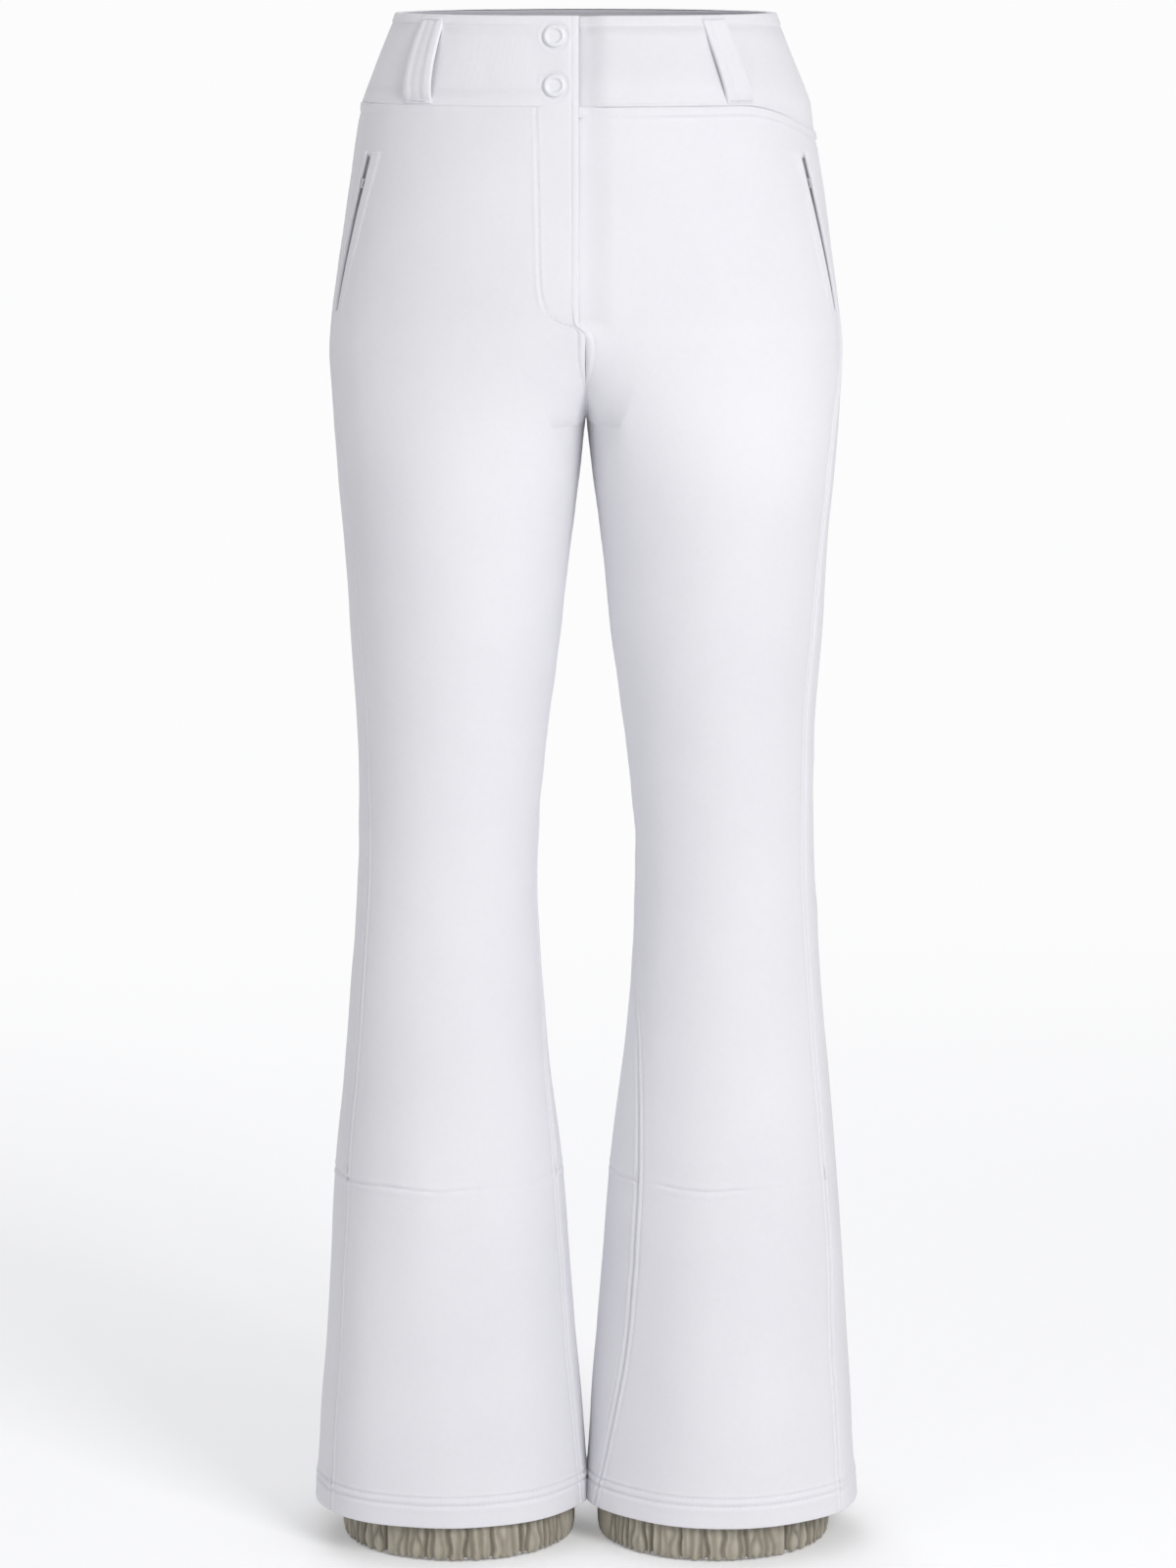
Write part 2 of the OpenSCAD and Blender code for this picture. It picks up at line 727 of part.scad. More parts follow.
module fly_slider() {
    color(metal_colour) on_fly() translate([0, 0, fly_len - slider_len]) zip_slider();
}
module fly_pull() {
    color(metal_colour) on_fly() translate([0, pull_bar_y, fly_len - slider_len]) zip_pull(22);
}

// ---- Hand pockets: drawn on the wearer's left and mirrored ----

pocket_low_z = pocket_top_z - pocket_len * 0.96;
pocket_top_p = waist(pocket_top_a, pocket_top_z, 0);
pocket_low_p = waist(pocket_low_a, pocket_low_z, 0);
pocket_run = pocket_top_p - pocket_low_p;
function unit(v) = v / norm(v);
pocket_up = unit(pocket_run);
pocket_mid_a = (pocket_top_a + pocket_low_a) / 2;
pocket_across = unit(cross(pocket_up, [sin(pocket_mid_a + 6), -cos(pocket_mid_a + 6), 0.1]));
pocket_out = cross(pocket_across, pocket_up);
pocket_stand = -4.6;
pocket_tape_w = 5;
pocket_pull_len = 16;
slot_w = 10;
pocket_zip_len = norm(pocket_run) - 8;

// Local frame of the pocket zip: +Z up along the zip and -Y out of the cloth.
module on_pocket() {
    p = pocket_low_p + pocket_out * pocket_stand + pocket_up * 4;
    x = -pocket_across;
    y = -pocket_out;
    z = pocket_up;
    multmatrix([[x.x, y.x, z.x, p.x], [x.y, y.y, z.y, p.y], [x.z, y.z, z.z, p.z]]) children();
}
// Raised lip that follows the cloth on one side of the zip.
module pocket_lip(offset_a, width_a) {
    sheet(
        function (s, j, d)
            let (
                z = lerp(pocket_low_z - 6, pocket_top_z + 6, j / 8),
                a = lerp(pocket_low_a, pocket_top_a, (z - pocket_low_z) / (pocket_top_z - pocket_low_z))
            ) waist(a + offset_a + width_a * s, z, d - 1.4),
        2, 8, 1.1
    );
}
module pocket_welts() {
    pocket_lip(-8.5, 4);
    pocket_lip(4.5, 4);
}
module pocket_bag() {
    sheet(
        function (s, j, d)
            let (z = lerp(pocket_low_z - 70, pocket_top_z - 4, j / 6), narrow = 1 - 0.25 * (1 - j / 6))
            waist(pocket_mid_a - 6 + narrow * lerp(-34, 14, s), z, shell_t + 9 + d),
        8, 6, 2
    );
}
module pocket_slider() {
    on_pocket() translate([0, 0, pocket_zip_len - slider_len]) zip_slider();
}
module pocket_pull() {
    on_pocket() translate([0, pull_bar_y, pocket_zip_len - slider_len]) zip_pull(pocket_pull_len);
}
module pocket_welts_left() {
    color(shell_colour) pocket_welts();
}
module pocket_welts_right() {
    color(shell_colour) mirror([1, 0, 0]) pocket_welts();
}
module pocket_bag_left() {
    color(lining_colour) pocket_bag();
}
module pocket_bag_right() {
    color(lining_colour) mirror([1, 0, 0]) pocket_bag();
}
module pocket_zip_tapes_left() {
    color(tape_colour) on_pocket() zip_tapes(pocket_zip_len, pocket_tape_w, 1.5);
}
module pocket_zip_tapes_right() {
    color(tape_colour) mirror([1, 0, 0]) on_pocket() zip_tapes(pocket_zip_len, pocket_tape_w, 1.5);
}
module pocket_zip_teeth_left() {
    color("white") on_pocket() zip_teeth(pocket_zip_len);
}
module pocket_zip_teeth_right() {
    color("white") mirror([1, 0, 0]) on_pocket() zip_teeth(pocket_zip_len);
}
module pocket_slider_left() {
    color(metal_colour) pocket_slider();
}
module pocket_slider_right() {
    color(metal_colour) mirror([1, 0, 0]) pocket_slider();
}
module pocket_pull_left() {
    color(metal_colour) pocket_pull();
}
module pocket_pull_right() {
    color(metal_colour) mirror([1, 0, 0]) pocket_pull();
}

waistband_left();
waistband_right();
waistband_back();
waistband_binding();
waistband_facing();
waist_elastic();
belt_loops_front();
belt_loops_back();
hip_front_left();
hip_front_right();
hip_back_left();
hip_back_right();
flap_band();
flap_front();
flap_facing();
snap_caps();
snap_sockets();
snap_studs();
fly_zip_tapes();
fly_zip_teeth();
fly_zip_stops();
fly_shield();
fly_slider();
fly_pull();
pocket_welts_left();
pocket_welts_right();
pocket_bag_left();
pocket_bag_right();
pocket_zip_tapes_left();
pocket_zip_tapes_right();
pocket_zip_teeth_left();
pocket_zip_teeth_right();
pocket_slider_left();
pocket_slider_right();
pocket_pull_left();
pocket_pull_right();
thigh_front_left();
thigh_front_right();
thigh_back_left();
thigh_back_right();
shin_front_left();
shin_front_right();
shin_back_left();
shin_back_right();
hem_fold_left();
hem_fold_right();
gaiter_sleeve_left();
gaiter_sleeve_right();
gaiter_cuff_left();
gaiter_cuff_right();
gaiter_elastic_left();
gaiter_elastic_right();
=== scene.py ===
import json
import math

import bpy
import numpy as np
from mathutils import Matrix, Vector


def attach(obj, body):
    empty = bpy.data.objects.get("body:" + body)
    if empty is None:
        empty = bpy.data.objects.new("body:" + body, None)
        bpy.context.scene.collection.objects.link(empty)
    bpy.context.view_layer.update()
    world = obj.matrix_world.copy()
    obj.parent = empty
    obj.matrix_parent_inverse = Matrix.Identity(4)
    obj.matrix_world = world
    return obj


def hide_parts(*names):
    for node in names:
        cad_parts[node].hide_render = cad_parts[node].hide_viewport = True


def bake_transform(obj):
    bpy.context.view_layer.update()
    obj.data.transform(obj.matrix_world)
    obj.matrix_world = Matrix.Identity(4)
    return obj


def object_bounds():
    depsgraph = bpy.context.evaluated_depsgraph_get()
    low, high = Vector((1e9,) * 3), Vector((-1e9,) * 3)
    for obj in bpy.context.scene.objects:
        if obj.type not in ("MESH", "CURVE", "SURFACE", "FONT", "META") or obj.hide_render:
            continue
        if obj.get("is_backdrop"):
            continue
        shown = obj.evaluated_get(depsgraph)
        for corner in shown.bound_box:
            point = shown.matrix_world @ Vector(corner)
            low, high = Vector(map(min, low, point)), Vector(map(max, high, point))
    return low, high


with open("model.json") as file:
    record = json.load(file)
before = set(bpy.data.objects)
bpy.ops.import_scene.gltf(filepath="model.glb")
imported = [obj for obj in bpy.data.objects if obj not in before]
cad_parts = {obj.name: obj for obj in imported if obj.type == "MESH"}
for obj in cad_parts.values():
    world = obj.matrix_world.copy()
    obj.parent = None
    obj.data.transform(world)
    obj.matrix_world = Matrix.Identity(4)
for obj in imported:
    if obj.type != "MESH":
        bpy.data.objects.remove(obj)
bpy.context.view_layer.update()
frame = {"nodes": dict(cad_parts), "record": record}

rng = np.random.default_rng(7)
MM = 0.001

# ------------ body lines, in millimetres

TOP, SEAM, CROTCH, BOOT, HEM = 1098.0, 1033.0, 804.0, 262.0, 25.0
SPLIT = 622.0  # where the seat pieces end and the leg pieces start
FRONT_RISE, BACK_RISE = 75.0, 110.0
BAND_H, BAND_TOP = 64.6, TOP - 0.4
FLY_LOW = 880.0
SNAP_X, SNAP_HEIGHTS = 22.2, (1083, 1048)
POCKET_LOW, POCKET_LEN, POCKET_MM = 889.2, 100.8, 1.9  # POCKET_MM is the cloth's width over one degree
HEM_STITCHES = (15.6, 21.2)  # heights above the hem
CUFF_X, CUFF_R, CUFF_H, CUFF_ROUND = 92.0, 82.0, 26.0, 515
SIDES = (("left", 1), ("right", -1))


def lerp(a, b, t):
    return a + (b - a) * t


def smooth(t):
    c = np.clip(t, 0.0, 1.0)
    return c * c * (3 - 2 * c)


def smoother(t):
    c = np.clip(t, 0.0, 1.0)
    return c**3 * (6 * c * c - 15 * c + 10)


def bell(x, width):
    return np.exp(-((x / width) ** 2))


def curve(*stations):
    """Cubic through [height, value] stations with shared slopes."""
    z, v = np.array(stations, float).T
    last = len(z) - 1
    m = np.array([
        (v[min(i + 1, last)] - v[max(i - 1, 0)]) / (z[min(i + 1, last)] - z[max(i - 1, 0)])
        for i in range(last + 1)
    ])

    def at(x):
        i = np.clip(np.searchsorted(z, x) - 1, 0, last - 1)
        h = z[i + 1] - z[i]
        t = (x - z[i]) / h
        return (
            (2 * t**3 - 3 * t**2 + 1) * v[i] + (t**3 - 2 * t**2 + t) * h * m[i]
            + (3 * t**2 - 2 * t**3) * v[i + 1] + (t**3 - t**2) * h * m[i + 1]
        )
    return at


outer_line = curve((25, 195), (262, 182), (361, 173), (500, 164.5), (670, 171.5), (804, 183),
                   (865, 184.6), (1033, 162.5))
inner_line = curve((25, 1.2), (262, 17.5), (361, 29), (500, 35.5), (670, 16), (804, 1))
front_line = curve((25, 88), (262, 80), (361, 72), (500, 67), (670, 84), (804, 99), (865, 106),
                   (1033, 101))
back_line = curve((25, 98), (262, 88), (361, 78), (500, 70), (670, 94), (804, 117), (865, 128),
                  (1033, 113))


def above(z, low, high, line):
    return np.where(z > SEAM, lerp(low, high, (z - SEAM) / (TOP - SEAM)), line(np.minimum(z, SEAM)))


def half_w(z):
    return above(z, 162.5, 137.0, outer_line)


def depth(z, front):
    return np.where(front, above(z, 101.0, 94.0, front_line), above(z, 113.0, 102.0, back_line))


def trunk_share(z, front, u):
    """How far the section is one trunk instead of two legs: steep at the crotch, slow away from it."""
    t = np.clip((z - CROTCH) / np.where(front, FRONT_RISE, BACK_RISE), 0, 1)
    slow = smoother((z - np.where(front, 700, 690)) / np.where(front, 212, 235))
    return lerp((1 - (1 - t) ** 2) ** 0.7, slow, smooth(u / 0.4))


def inner_at(z, u):
    """Inner line of the leg; away from the inseam its end at the crotch is eased over 80 mm."""
    exact = inner_line(np.minimum(z, CROTCH))
    eased = sum(inner_line(np.minimum(z + k, CROTCH)) for k in range(-40, 41, 8)) / 11
    return lerp(exact, eased, smooth(u / 0.6))


def signed(a):
    """The same angle between -180 and 180 degrees."""
    return (a + 180) % 360 - 180


def ring(w, z):
    """Point on the wearer's left half: w runs inseam 0, front, side seam 1, back, inseam 2."""
    w, z = np.broadcast_arrays(np.asarray(w, float) % 2.0, np.asarray(z, float))
    front = w <= 1.0
    u = np.where(front, w, 2.0 - w) * math.pi / 2
    inn = inner_at(z, u)
    s2 = np.sin(u) ** 2
    trunk = np.sqrt(np.maximum(0, 1 - s2**2))
    y = depth(z, front) * lerp(np.sin(2 * u), trunk, trunk_share(z, front, u))
    return np.stack([lerp(inn, half_w(z), s2), np.where(front, -y, y), z], -1)


def waist(a, z, d=0.0):
    """Point on the trunk at angle a in degrees from the front centre, d below the outer surface."""
    a, z = np.broadcast_arrays(np.asarray(a, float), np.asarray(z, float))
    r = np.radians(a)
    deep = depth(z, np.abs(signed(a)) <= 90) - d
    return np.stack([(half_w(z) - d) * np.sin(r), -deep * np.cos(r), z], -1)


def angle_at(x, z):
    return np.degrees(np.arcsin(np.clip(x / half_w(z), -1, 1)))


def seam_drop(a):
    """How far the waist seam hangs below its front level; only the wearer's left side dips."""
    m = np.abs(a)
    return np.where(a > 0, 21 * smooth((m - 42) / 44) * (1 - smooth((m - 100) / 55)), 0.0)


def fold_x(z):
    return lerp(8.0, 40.5, (z - FLY_LOW) / (TOP - FLY_LOW))


def fly_share(z):
    return smooth((z - FLY_LOW + 8) / 9)


def calm(p):
    """0 round the fly, where panel, band and flap have to lie flush; 1 elsewhere."""
    x, y, z = np.abs(p[..., 0]), p[..., 1], p[..., 2]
    return 1 - smooth((z - 858) / 28) * (1 - smooth((x - 46) / 30)) * (y < 0)


def seam_strength(a):
    """Depth of the waist seam at signed angle a: only faint across the wearer's right front."""
    m = signed(a)
    return np.where(m < 0, 0.12 + 0.88 * smooth((-m - 62) / 12), 1.0)


# ------------ mesh building

def grid_normals(p, wrap):
    if wrap:
        du = np.roll(p, -1, 1) - np.roll(p, 1, 1)
    else:
        du = np.gradient(p, axis=1)
    n = np.cross(du, np.gradient(p, axis=0))
    size = np.linalg.norm(n, axis=-1, keepdims=True)
    return n / np.maximum(size, 1e-9)


def unit(v):
    return v / np.linalg.norm(v)


def run_along(points):
    """Length of the path up to each of its points."""
    return np.concatenate([[0], np.cumsum(np.linalg.norm(np.diff(points, axis=0), axis=1))])


def placed(name, data):
    obj = bpy.data.objects.new(name, data)
    bpy.context.collection.objects.link(obj)
    return obj


def mark_painted_fold_shade(obj, valley):
    """How deep each point lies in a gather, for the cloth's colour: painted shade that darkens the hollows of
    the gathers.
    """
    layer = obj.data.attributes.new("valley", "FLOAT", "POINT")
    layer.data.foreach_set("value", np.asarray(valley, np.float32))


def make_object(name, verts, faces, materials, index=None, uv=None, sharp=38):
    """Smooth-shaded piece from points in mm and faces as lists, sharp where it turns past an angle."""
    mesh = bpy.data.meshes.new(name)
    mesh.from_pydata((verts * MM).tolist(), [], faces)
    for m in materials:
        mesh.materials.append(m)
    if index is not None:
        mesh.polygons.foreach_set("material_index", np.asarray(index, np.int32))
    if uv is not None:
        layer = mesh.uv_layers.new(name="weave")
        layer.data.foreach_set("uv", np.asarray(uv, np.float32).ravel())
    mesh.polygons.foreach_set("use_smooth", np.ones(len(mesh.polygons), bool))
    mesh.set_sharp_from_angle(angle=math.radians(sharp))
    mesh.update()
    mesh.validate()
    return placed(name, mesh)


def stand_for(obj, slot, *nodes, body=None):
    """Hides the CAD nodes a piece stands for and, if it is rigid, attaches it to its body; the slot argument
    is not used.
    """
    if body:
        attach(obj, body)
    if nodes:
        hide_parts(*nodes)


def sheet(name, out, inn, materials, flip=False, wrap=False, sharp=38):
    """Closed solid between two grids of points [row, column]; the inner face takes the second material."""
    rows, cols = out.shape[:2]
    n = rows * cols
    across = cols if wrap else cols - 1
    j, i = np.meshgrid(np.arange(rows - 1), np.arange(across), indexing="ij")
    j, i = j.ravel(), i.ravel()
    k = (i + 1) % cols
    q = np.stack([j * cols + i, j * cols + k, (j + 1) * cols + k, (j + 1) * cols + i], 1)
    gaps = np.linalg.norm(np.diff(out, axis=1, append=out[:, :1]), axis=-1)
    run = np.concatenate([np.zeros((rows, 1)), np.cumsum(gaps, 1)], 1)
    run = run - run[:, cols // 2][:, None]  # measured from the middle, so the weave runs straight down
    level = np.broadcast_to(out[:, :1, 2], (rows, cols + 1))
    uvg = np.stack([run, level], -1) * MM
    quv = np.stack([uvg[j, i], uvg[j, i + 1], uvg[j + 1, i + 1], uvg[j + 1, i]], 1)
    faces, uvs, index = [q, q[:, ::-1] + n], [quv, quv[:, ::-1]], [np.zeros(len(q)), np.ones(len(q))]
    rims = []
    e = np.arange(across)
    for row in (0, rows - 1):
        rims.append((row * cols + (e + 1) % cols, row * cols + e, uvg[row, e + 1], uvg[row, e], row > 0))
    if not wrap:
        e = np.arange(rows - 1)
        for col in (0, cols - 1):
            rims.append((e * cols + col, (e + 1) * cols + col, uvg[e, col], uvg[e + 1, col], col > 0))
    for a, b, uv_a, uv_b, turn in rims:
        rim, rim_uv = np.stack([a, b, b + n, a + n], 1), np.stack([uv_a, uv_b, uv_b, uv_a], 1)
        faces.append(rim[:, ::-1] if turn else rim)
        uvs.append(rim_uv[:, ::-1] if turn else rim_uv)
        index.append(np.zeros(len(rim)))
    faces, uvs, index = np.concatenate(faces), np.concatenate(uvs), np.concatenate(index)
    verts = np.concatenate([out.reshape(-1, 3), inn.reshape(-1, 3)])
    if flip:
        verts = verts * [-1, 1, 1]
        faces, uvs = faces[:, ::-1], uvs[:, ::-1]
    if len(materials) == 1:
        index = None
    return make_object(name, verts, faces.tolist(), materials, index, uvs.reshape(-1, 2), sharp)


def soft_noise(p, waves, seed):
    """Smooth noise of a point, between about -1 and 1, the same on both sides of any seam."""
    r = np.random.default_rng(seed)
    total = 0.0
    for _ in range(6):
        k = r.normal(size=3)
        k = k / np.linalg.norm(k) * 2 * math.pi / r.uniform(*waves)
        total = total + np.sin(p @ k + r.uniform(0, 2 * math.pi))
    return total / 3


# ------------ materials

def node_material(name):
    m = bpy.data.materials.new(name)
    m.use_nodes = True
    nt = m.node_tree
    return m, nt, nt.nodes["Principled BSDF"]


def link(nt, output, node, name):
    nt.links.new(output, node.inputs[name])


def tune(node, **values):
    """Sets inputs by name; an underscore stands for a space."""
    for key, value in values.items():
        node.inputs[key.replace("_", " ")].default_value = value


def add(nt, kind, **values):
    """New node with its properties and inputs set by name."""
    node = nt.nodes.new(kind)
    for key, value in values.items():
        if hasattr(node, key):
            setattr(node, key, value)
        else:
            tune(node, **{key: value})
    return node


def object_place(nt):
    return add(nt, "ShaderNodeTexCoord").outputs["Object"]


def noise(nt, where, scale, detail=3.0, rough=0.5):
    node = add(nt, "ShaderNodeTexNoise", Scale=scale, Detail=detail, Roughness=rough)
    link(nt, where, node, "Vector")
    return node.outputs["Fac"]


def maths(nt, op, a, b):
    node = add(nt, "ShaderNodeMath", operation=op)
    for slot, v in zip(node.inputs, (a, b)):
        if isinstance(v, (int, float)):
            slot.default_value = v
        else:
            nt.links.new(v, slot)
    return node.outputs[0]


def scaled(nt, value, factor, offset):
    """offset + factor * value; the offset is a number or a socket."""
    return maths(nt, "ADD", offset, maths(nt, "MULTIPLY", value, factor))


def ramp(nt, fac, low, high, at=(0.3, 0.7)):
    node = add(nt, "ShaderNodeValToRGB")
    node.color_ramp.elements[0].position, node.color_ramp.elements[1].position = at
    node.color_ramp.elements[0].color = (*low, 1)
    node.color_ramp.elements[1].color = (*high, 1)
    link(nt, fac, node, "Fac")
    return node.outputs["Color"]


def waves(nt, where, scale, direction, distortion):
    node = add(nt, "ShaderNodeTexWave", wave_type="BANDS", bands_direction=direction, Scale=scale,
               Distortion=distortion, Detail=1.0, Detail_Scale=4.0)
    link(nt, where, node, "Vector")
    return node.outputs["Fac"]


def bump(nt, bsdf, height, distance, strength):
    node = add(nt, "ShaderNodeBump", Strength=strength, Distance=distance)
    link(nt, height, node, "Height")
    link(nt, node.outputs["Normal"], bsdf, "Normal")


def cloth_material(name, low, high, rough, sheen, pitch, depth_m, diagonal=True, shade=0.06):
    """Woven cloth: twill or plain weave of the given pitch in metres, slow colour drift, uneven roughness."""
    m, nt, b = node_material(name)
    place = add(nt, "ShaderNodeUVMap", uv_map="weave").outputs["UV"]
    body = object_place(nt)
    scale = 1 / (2 * pitch)
    first = waves(nt, place, scale, "DIAGONAL" if diagonal else "X", 0.4)
    second = waves(nt, place, scale, "Y", 0.4)
    weave = scaled(nt, second, 0.35 if diagonal else 1.0, first)
    fuzz = noise(nt, body, 1800, 4, 0.65)
    pill = noise(nt, body, 260, 3, 0.6)
    drift = noise(nt, body, 7, 2, 0.5)
    tone = scaled(nt, pill, 0.3, maths(nt, "MULTIPLY", drift, 0.7))
    colour = ramp(nt, tone, low, high)
    dark = add(nt, "ShaderNodeMixRGB", blend_type="MULTIPLY", Fac=shade)
    link(nt, colour, dark, "Color1")
    link(nt, ramp(nt, weave, (0.55, 0.55, 0.6), (1, 1, 1), (0.1, 0.9)), dark, "Color2")
    link(nt, dark.outputs["Color"], b, "Base Color")
    link(nt, scaled(nt, pill, 0.12, rough - 0.06), b, "Roughness")
    tune(b, Specular_IOR_Level=0.25, Sheen_Weight=sheen, Sheen_Roughness=0.45)
    bump(nt, b, scaled(nt, fuzz, 0.9, weave), depth_m, 0.8)
    return m


def taffeta_material():
    """Thin beige gaiter cloth: fine plain weave with a soft satin shine and small crinkles, and painted shade
    in the hollows of its gathers.
    """
    m, nt, b = node_material("gaiter_taffeta")
    place = add(nt, "ShaderNodeUVMap", uv_map="weave").outputs["UV"]
    body = object_place(nt)
    grain = maths(nt, "ADD", waves(nt, place, 1400, "X", 0.6), waves(nt, place, 1400, "Y", 0.6))
    crinkle = noise(nt, body, 190, 4, 0.6)
    drift = noise(nt, body, 14, 2, 0.5)
    tone = scaled(nt, drift, 0.5, maths(nt, "MULTIPLY", crinkle, 0.5))
    colour = ramp(nt, tone, (0.42, 0.38, 0.298), (0.58, 0.535, 0.435))
    # Painted shade: the colour is multiplied towards dark brown by the valley attribute, deepest in the
    # gathers' hollows.
    fold = add(nt, "ShaderNodeAttribute", attribute_name="valley")
    shaded = add(nt, "ShaderNodeMixRGB", blend_type="MULTIPLY", Color2=(0.36, 0.34, 0.31, 1))
    link(nt, fold.outputs["Fac"], shaded, "Fac")
    link(nt, colour, shaded, "Color1")
    link(nt, shaded.outputs["Color"], b, "Base Color")
    link(nt, scaled(nt, crinkle, 0.22, 0.34), b, "Roughness")
    tune(b, Sheen_Weight=0.25, Anisotropic=0.35)
    bump(nt, b, maths(nt, "ADD", maths(nt, "MULTIPLY", grain, 0.25), crinkle), 0.00035, 0.6)
    return m


def metal_material(name, low, high, rough):
    m, nt, b = node_material(name)
    body = object_place(nt)
    stretch = add(nt, "ShaderNodeMapping", Scale=(1, 1, 0.08))
    link(nt, body, stretch, "Vector")
    brushed = noise(nt, stretch.outputs["Vector"], 2600, 3, 0.6)
    spots = noise(nt, body, 420, 3, 0.6)
    link(nt, ramp(nt, spots, low, high), b, "Base Color")
    link(nt, scaled(nt, brushed, 0.2, rough - 0.08), b, "Roughness")
    tune(b, Metallic=1.0)
    bump(nt, b, brushed, 0.00002, 0.5)
    return m


def enamel_material():
    m, nt, b = node_material("snap_enamel")
    body = object_place(nt)
    spots = noise(nt, body, 500, 3, 0.6)
    link(nt, ramp(nt, spots, (0.80, 0.80, 0.835), (0.85, 0.85, 0.88)), b, "Base Color")
    link(nt, scaled(nt, spots, 0.16, 0.22), b, "Roughness")
    tune(b, Coat_Weight=0.5, Coat_Roughness=0.15)
    bump(nt, b, noise(nt, body, 900, 2, 0.5), 0.00002, 0.5)
    return m


def moulded_material():
    m, nt, b = node_material("zip_teeth")
    body = object_place(nt)
    grain = noise(nt, body, 1500, 3, 0.6)
    link(nt, ramp(nt, grain, (0.74, 0.74, 0.77), (0.82, 0.82, 0.85)), b, "Base Color")
    link(nt, scaled(nt, grain, 0.2, 0.38), b, "Roughness")
    bump(nt, b, grain, 0.00003, 0.5)
    return m


SHELL = cloth_material("softshell", (0.835, 0.83, 0.87), (0.89, 0.885, 0.92), 0.82, 0.2, 0.0007, 0.00012)
LINING = cloth_material("lining", (0.56, 0.555, 0.60), (0.64, 0.635, 0.68), 0.7, 0.15, 0.0006, 0.0001,
                        diagonal=False)
TAPE = cloth_material("zip_tape", (0.82, 0.815, 0.85), (0.88, 0.875, 0.90), 0.75, 0.1, 0.0009, 0.00016)
ELASTIC = cloth_material("elastic", (0.66, 0.65, 0.64), (0.76, 0.75, 0.74), 0.6, 0.1, 0.0013, 0.0003,
                         diagonal=False, shade=0.25)
THREAD = cloth_material("thread", (0.84, 0.835, 0.87), (0.90, 0.895, 0.93), 0.55, 0.1, 0.0003, 0.00005)
TAFFETA = taffeta_material()
METAL = metal_material("zip_metal", (0.60, 0.61, 0.64), (0.72, 0.73, 0.76), 0.3)
ENAMEL = enamel_material()
TEETH = moulded_material()

# ------------ shell panels

# Distances of a panel's columns from its edge: at any edge, beyond it at the fly, beyond it at the pocket.
EDGE_STEPS = [0, 0.3, 0.65, 1.05, 1.6, 2.5, 3.6, 4.6, 5.2, 5.7, 6.4, 7.6, 9.0]
FLY_STEPS = [9.8 + 0.75 * k for k in range(28)]
POCKET_STEPS = [11 + 1.5 * k for k in range(24)] + [49]
ROLL_R = 1.15
SHELL_T = 1.4


def levels(low, high, fine=(), base=5.0):
    """Heights from low to high, closer together near each (centre, half range, step)."""
    z, out = low, [low]
    while z < high:
        step = base
        for centre, reach, small in fine:
            away = max(0.0, abs(z - centre) - reach)
            step = min(step, small + away * 0.22)
        z = min(high, z + step)
        out.append(z)
    if out[-1] - out[-2] < 0.2:
        out.pop(-2)
    return np.array(out)


def eased(rows, values):
    """Values along the rows, widened upwards over 32 mm and then smoothed, so no row jumps."""
    z = np.arange(rows[0] - 80, rows[-1] + 80, 2.0)
    v = np.interp(z, rows, values)
    wide = np.max([np.roll(v, k) for k in range(-16, 17)], 0)
    kernel = np.hanning(31)
    soft = np.convolve(wide, kernel / kernel.sum(), mode="same")
    return np.interp(rows, z, soft)


def roll(d):
    """Depth of a rounded edge at distance d from it."""
    t = np.clip(1 - d / ROLL_R, 0, 1)
    return ROLL_R * (1 - np.sqrt(1 - t * t)) * 1.25


def ridge(d, low, high, soft=0.8):
    """1 between low and high, falling off over soft."""
    return smooth((d - low) / soft + 0.5) * (1 - smooth((d - high) / soft + 0.5))


side_seam = curve((25, 0.83), (300, 0.846), (520, 0.845), (760, 0.892), (900, 0.982), (960, 1.0))
left_inseam = curve((25, 0.122), (130, 0.20), (262, 0.218), (350, 0.16), (440, 0.04), (520, 0.0))
right_inseam = curve((25, 0.09), (262, 0.10), (400, 0.04), (520, 0.0))


def seam_w(z, side):
    """w of the side seam and of the inseam on row z; both wrap a little to the front."""
    line = left_inseam if side > 0 else right_inseam
    w_in = np.where(z < 520, np.maximum(line(np.minimum(z, 520)), 0), 0.0)
    return np.minimum(side_seam(np.minimum(z, 960)), 1.0), w_in


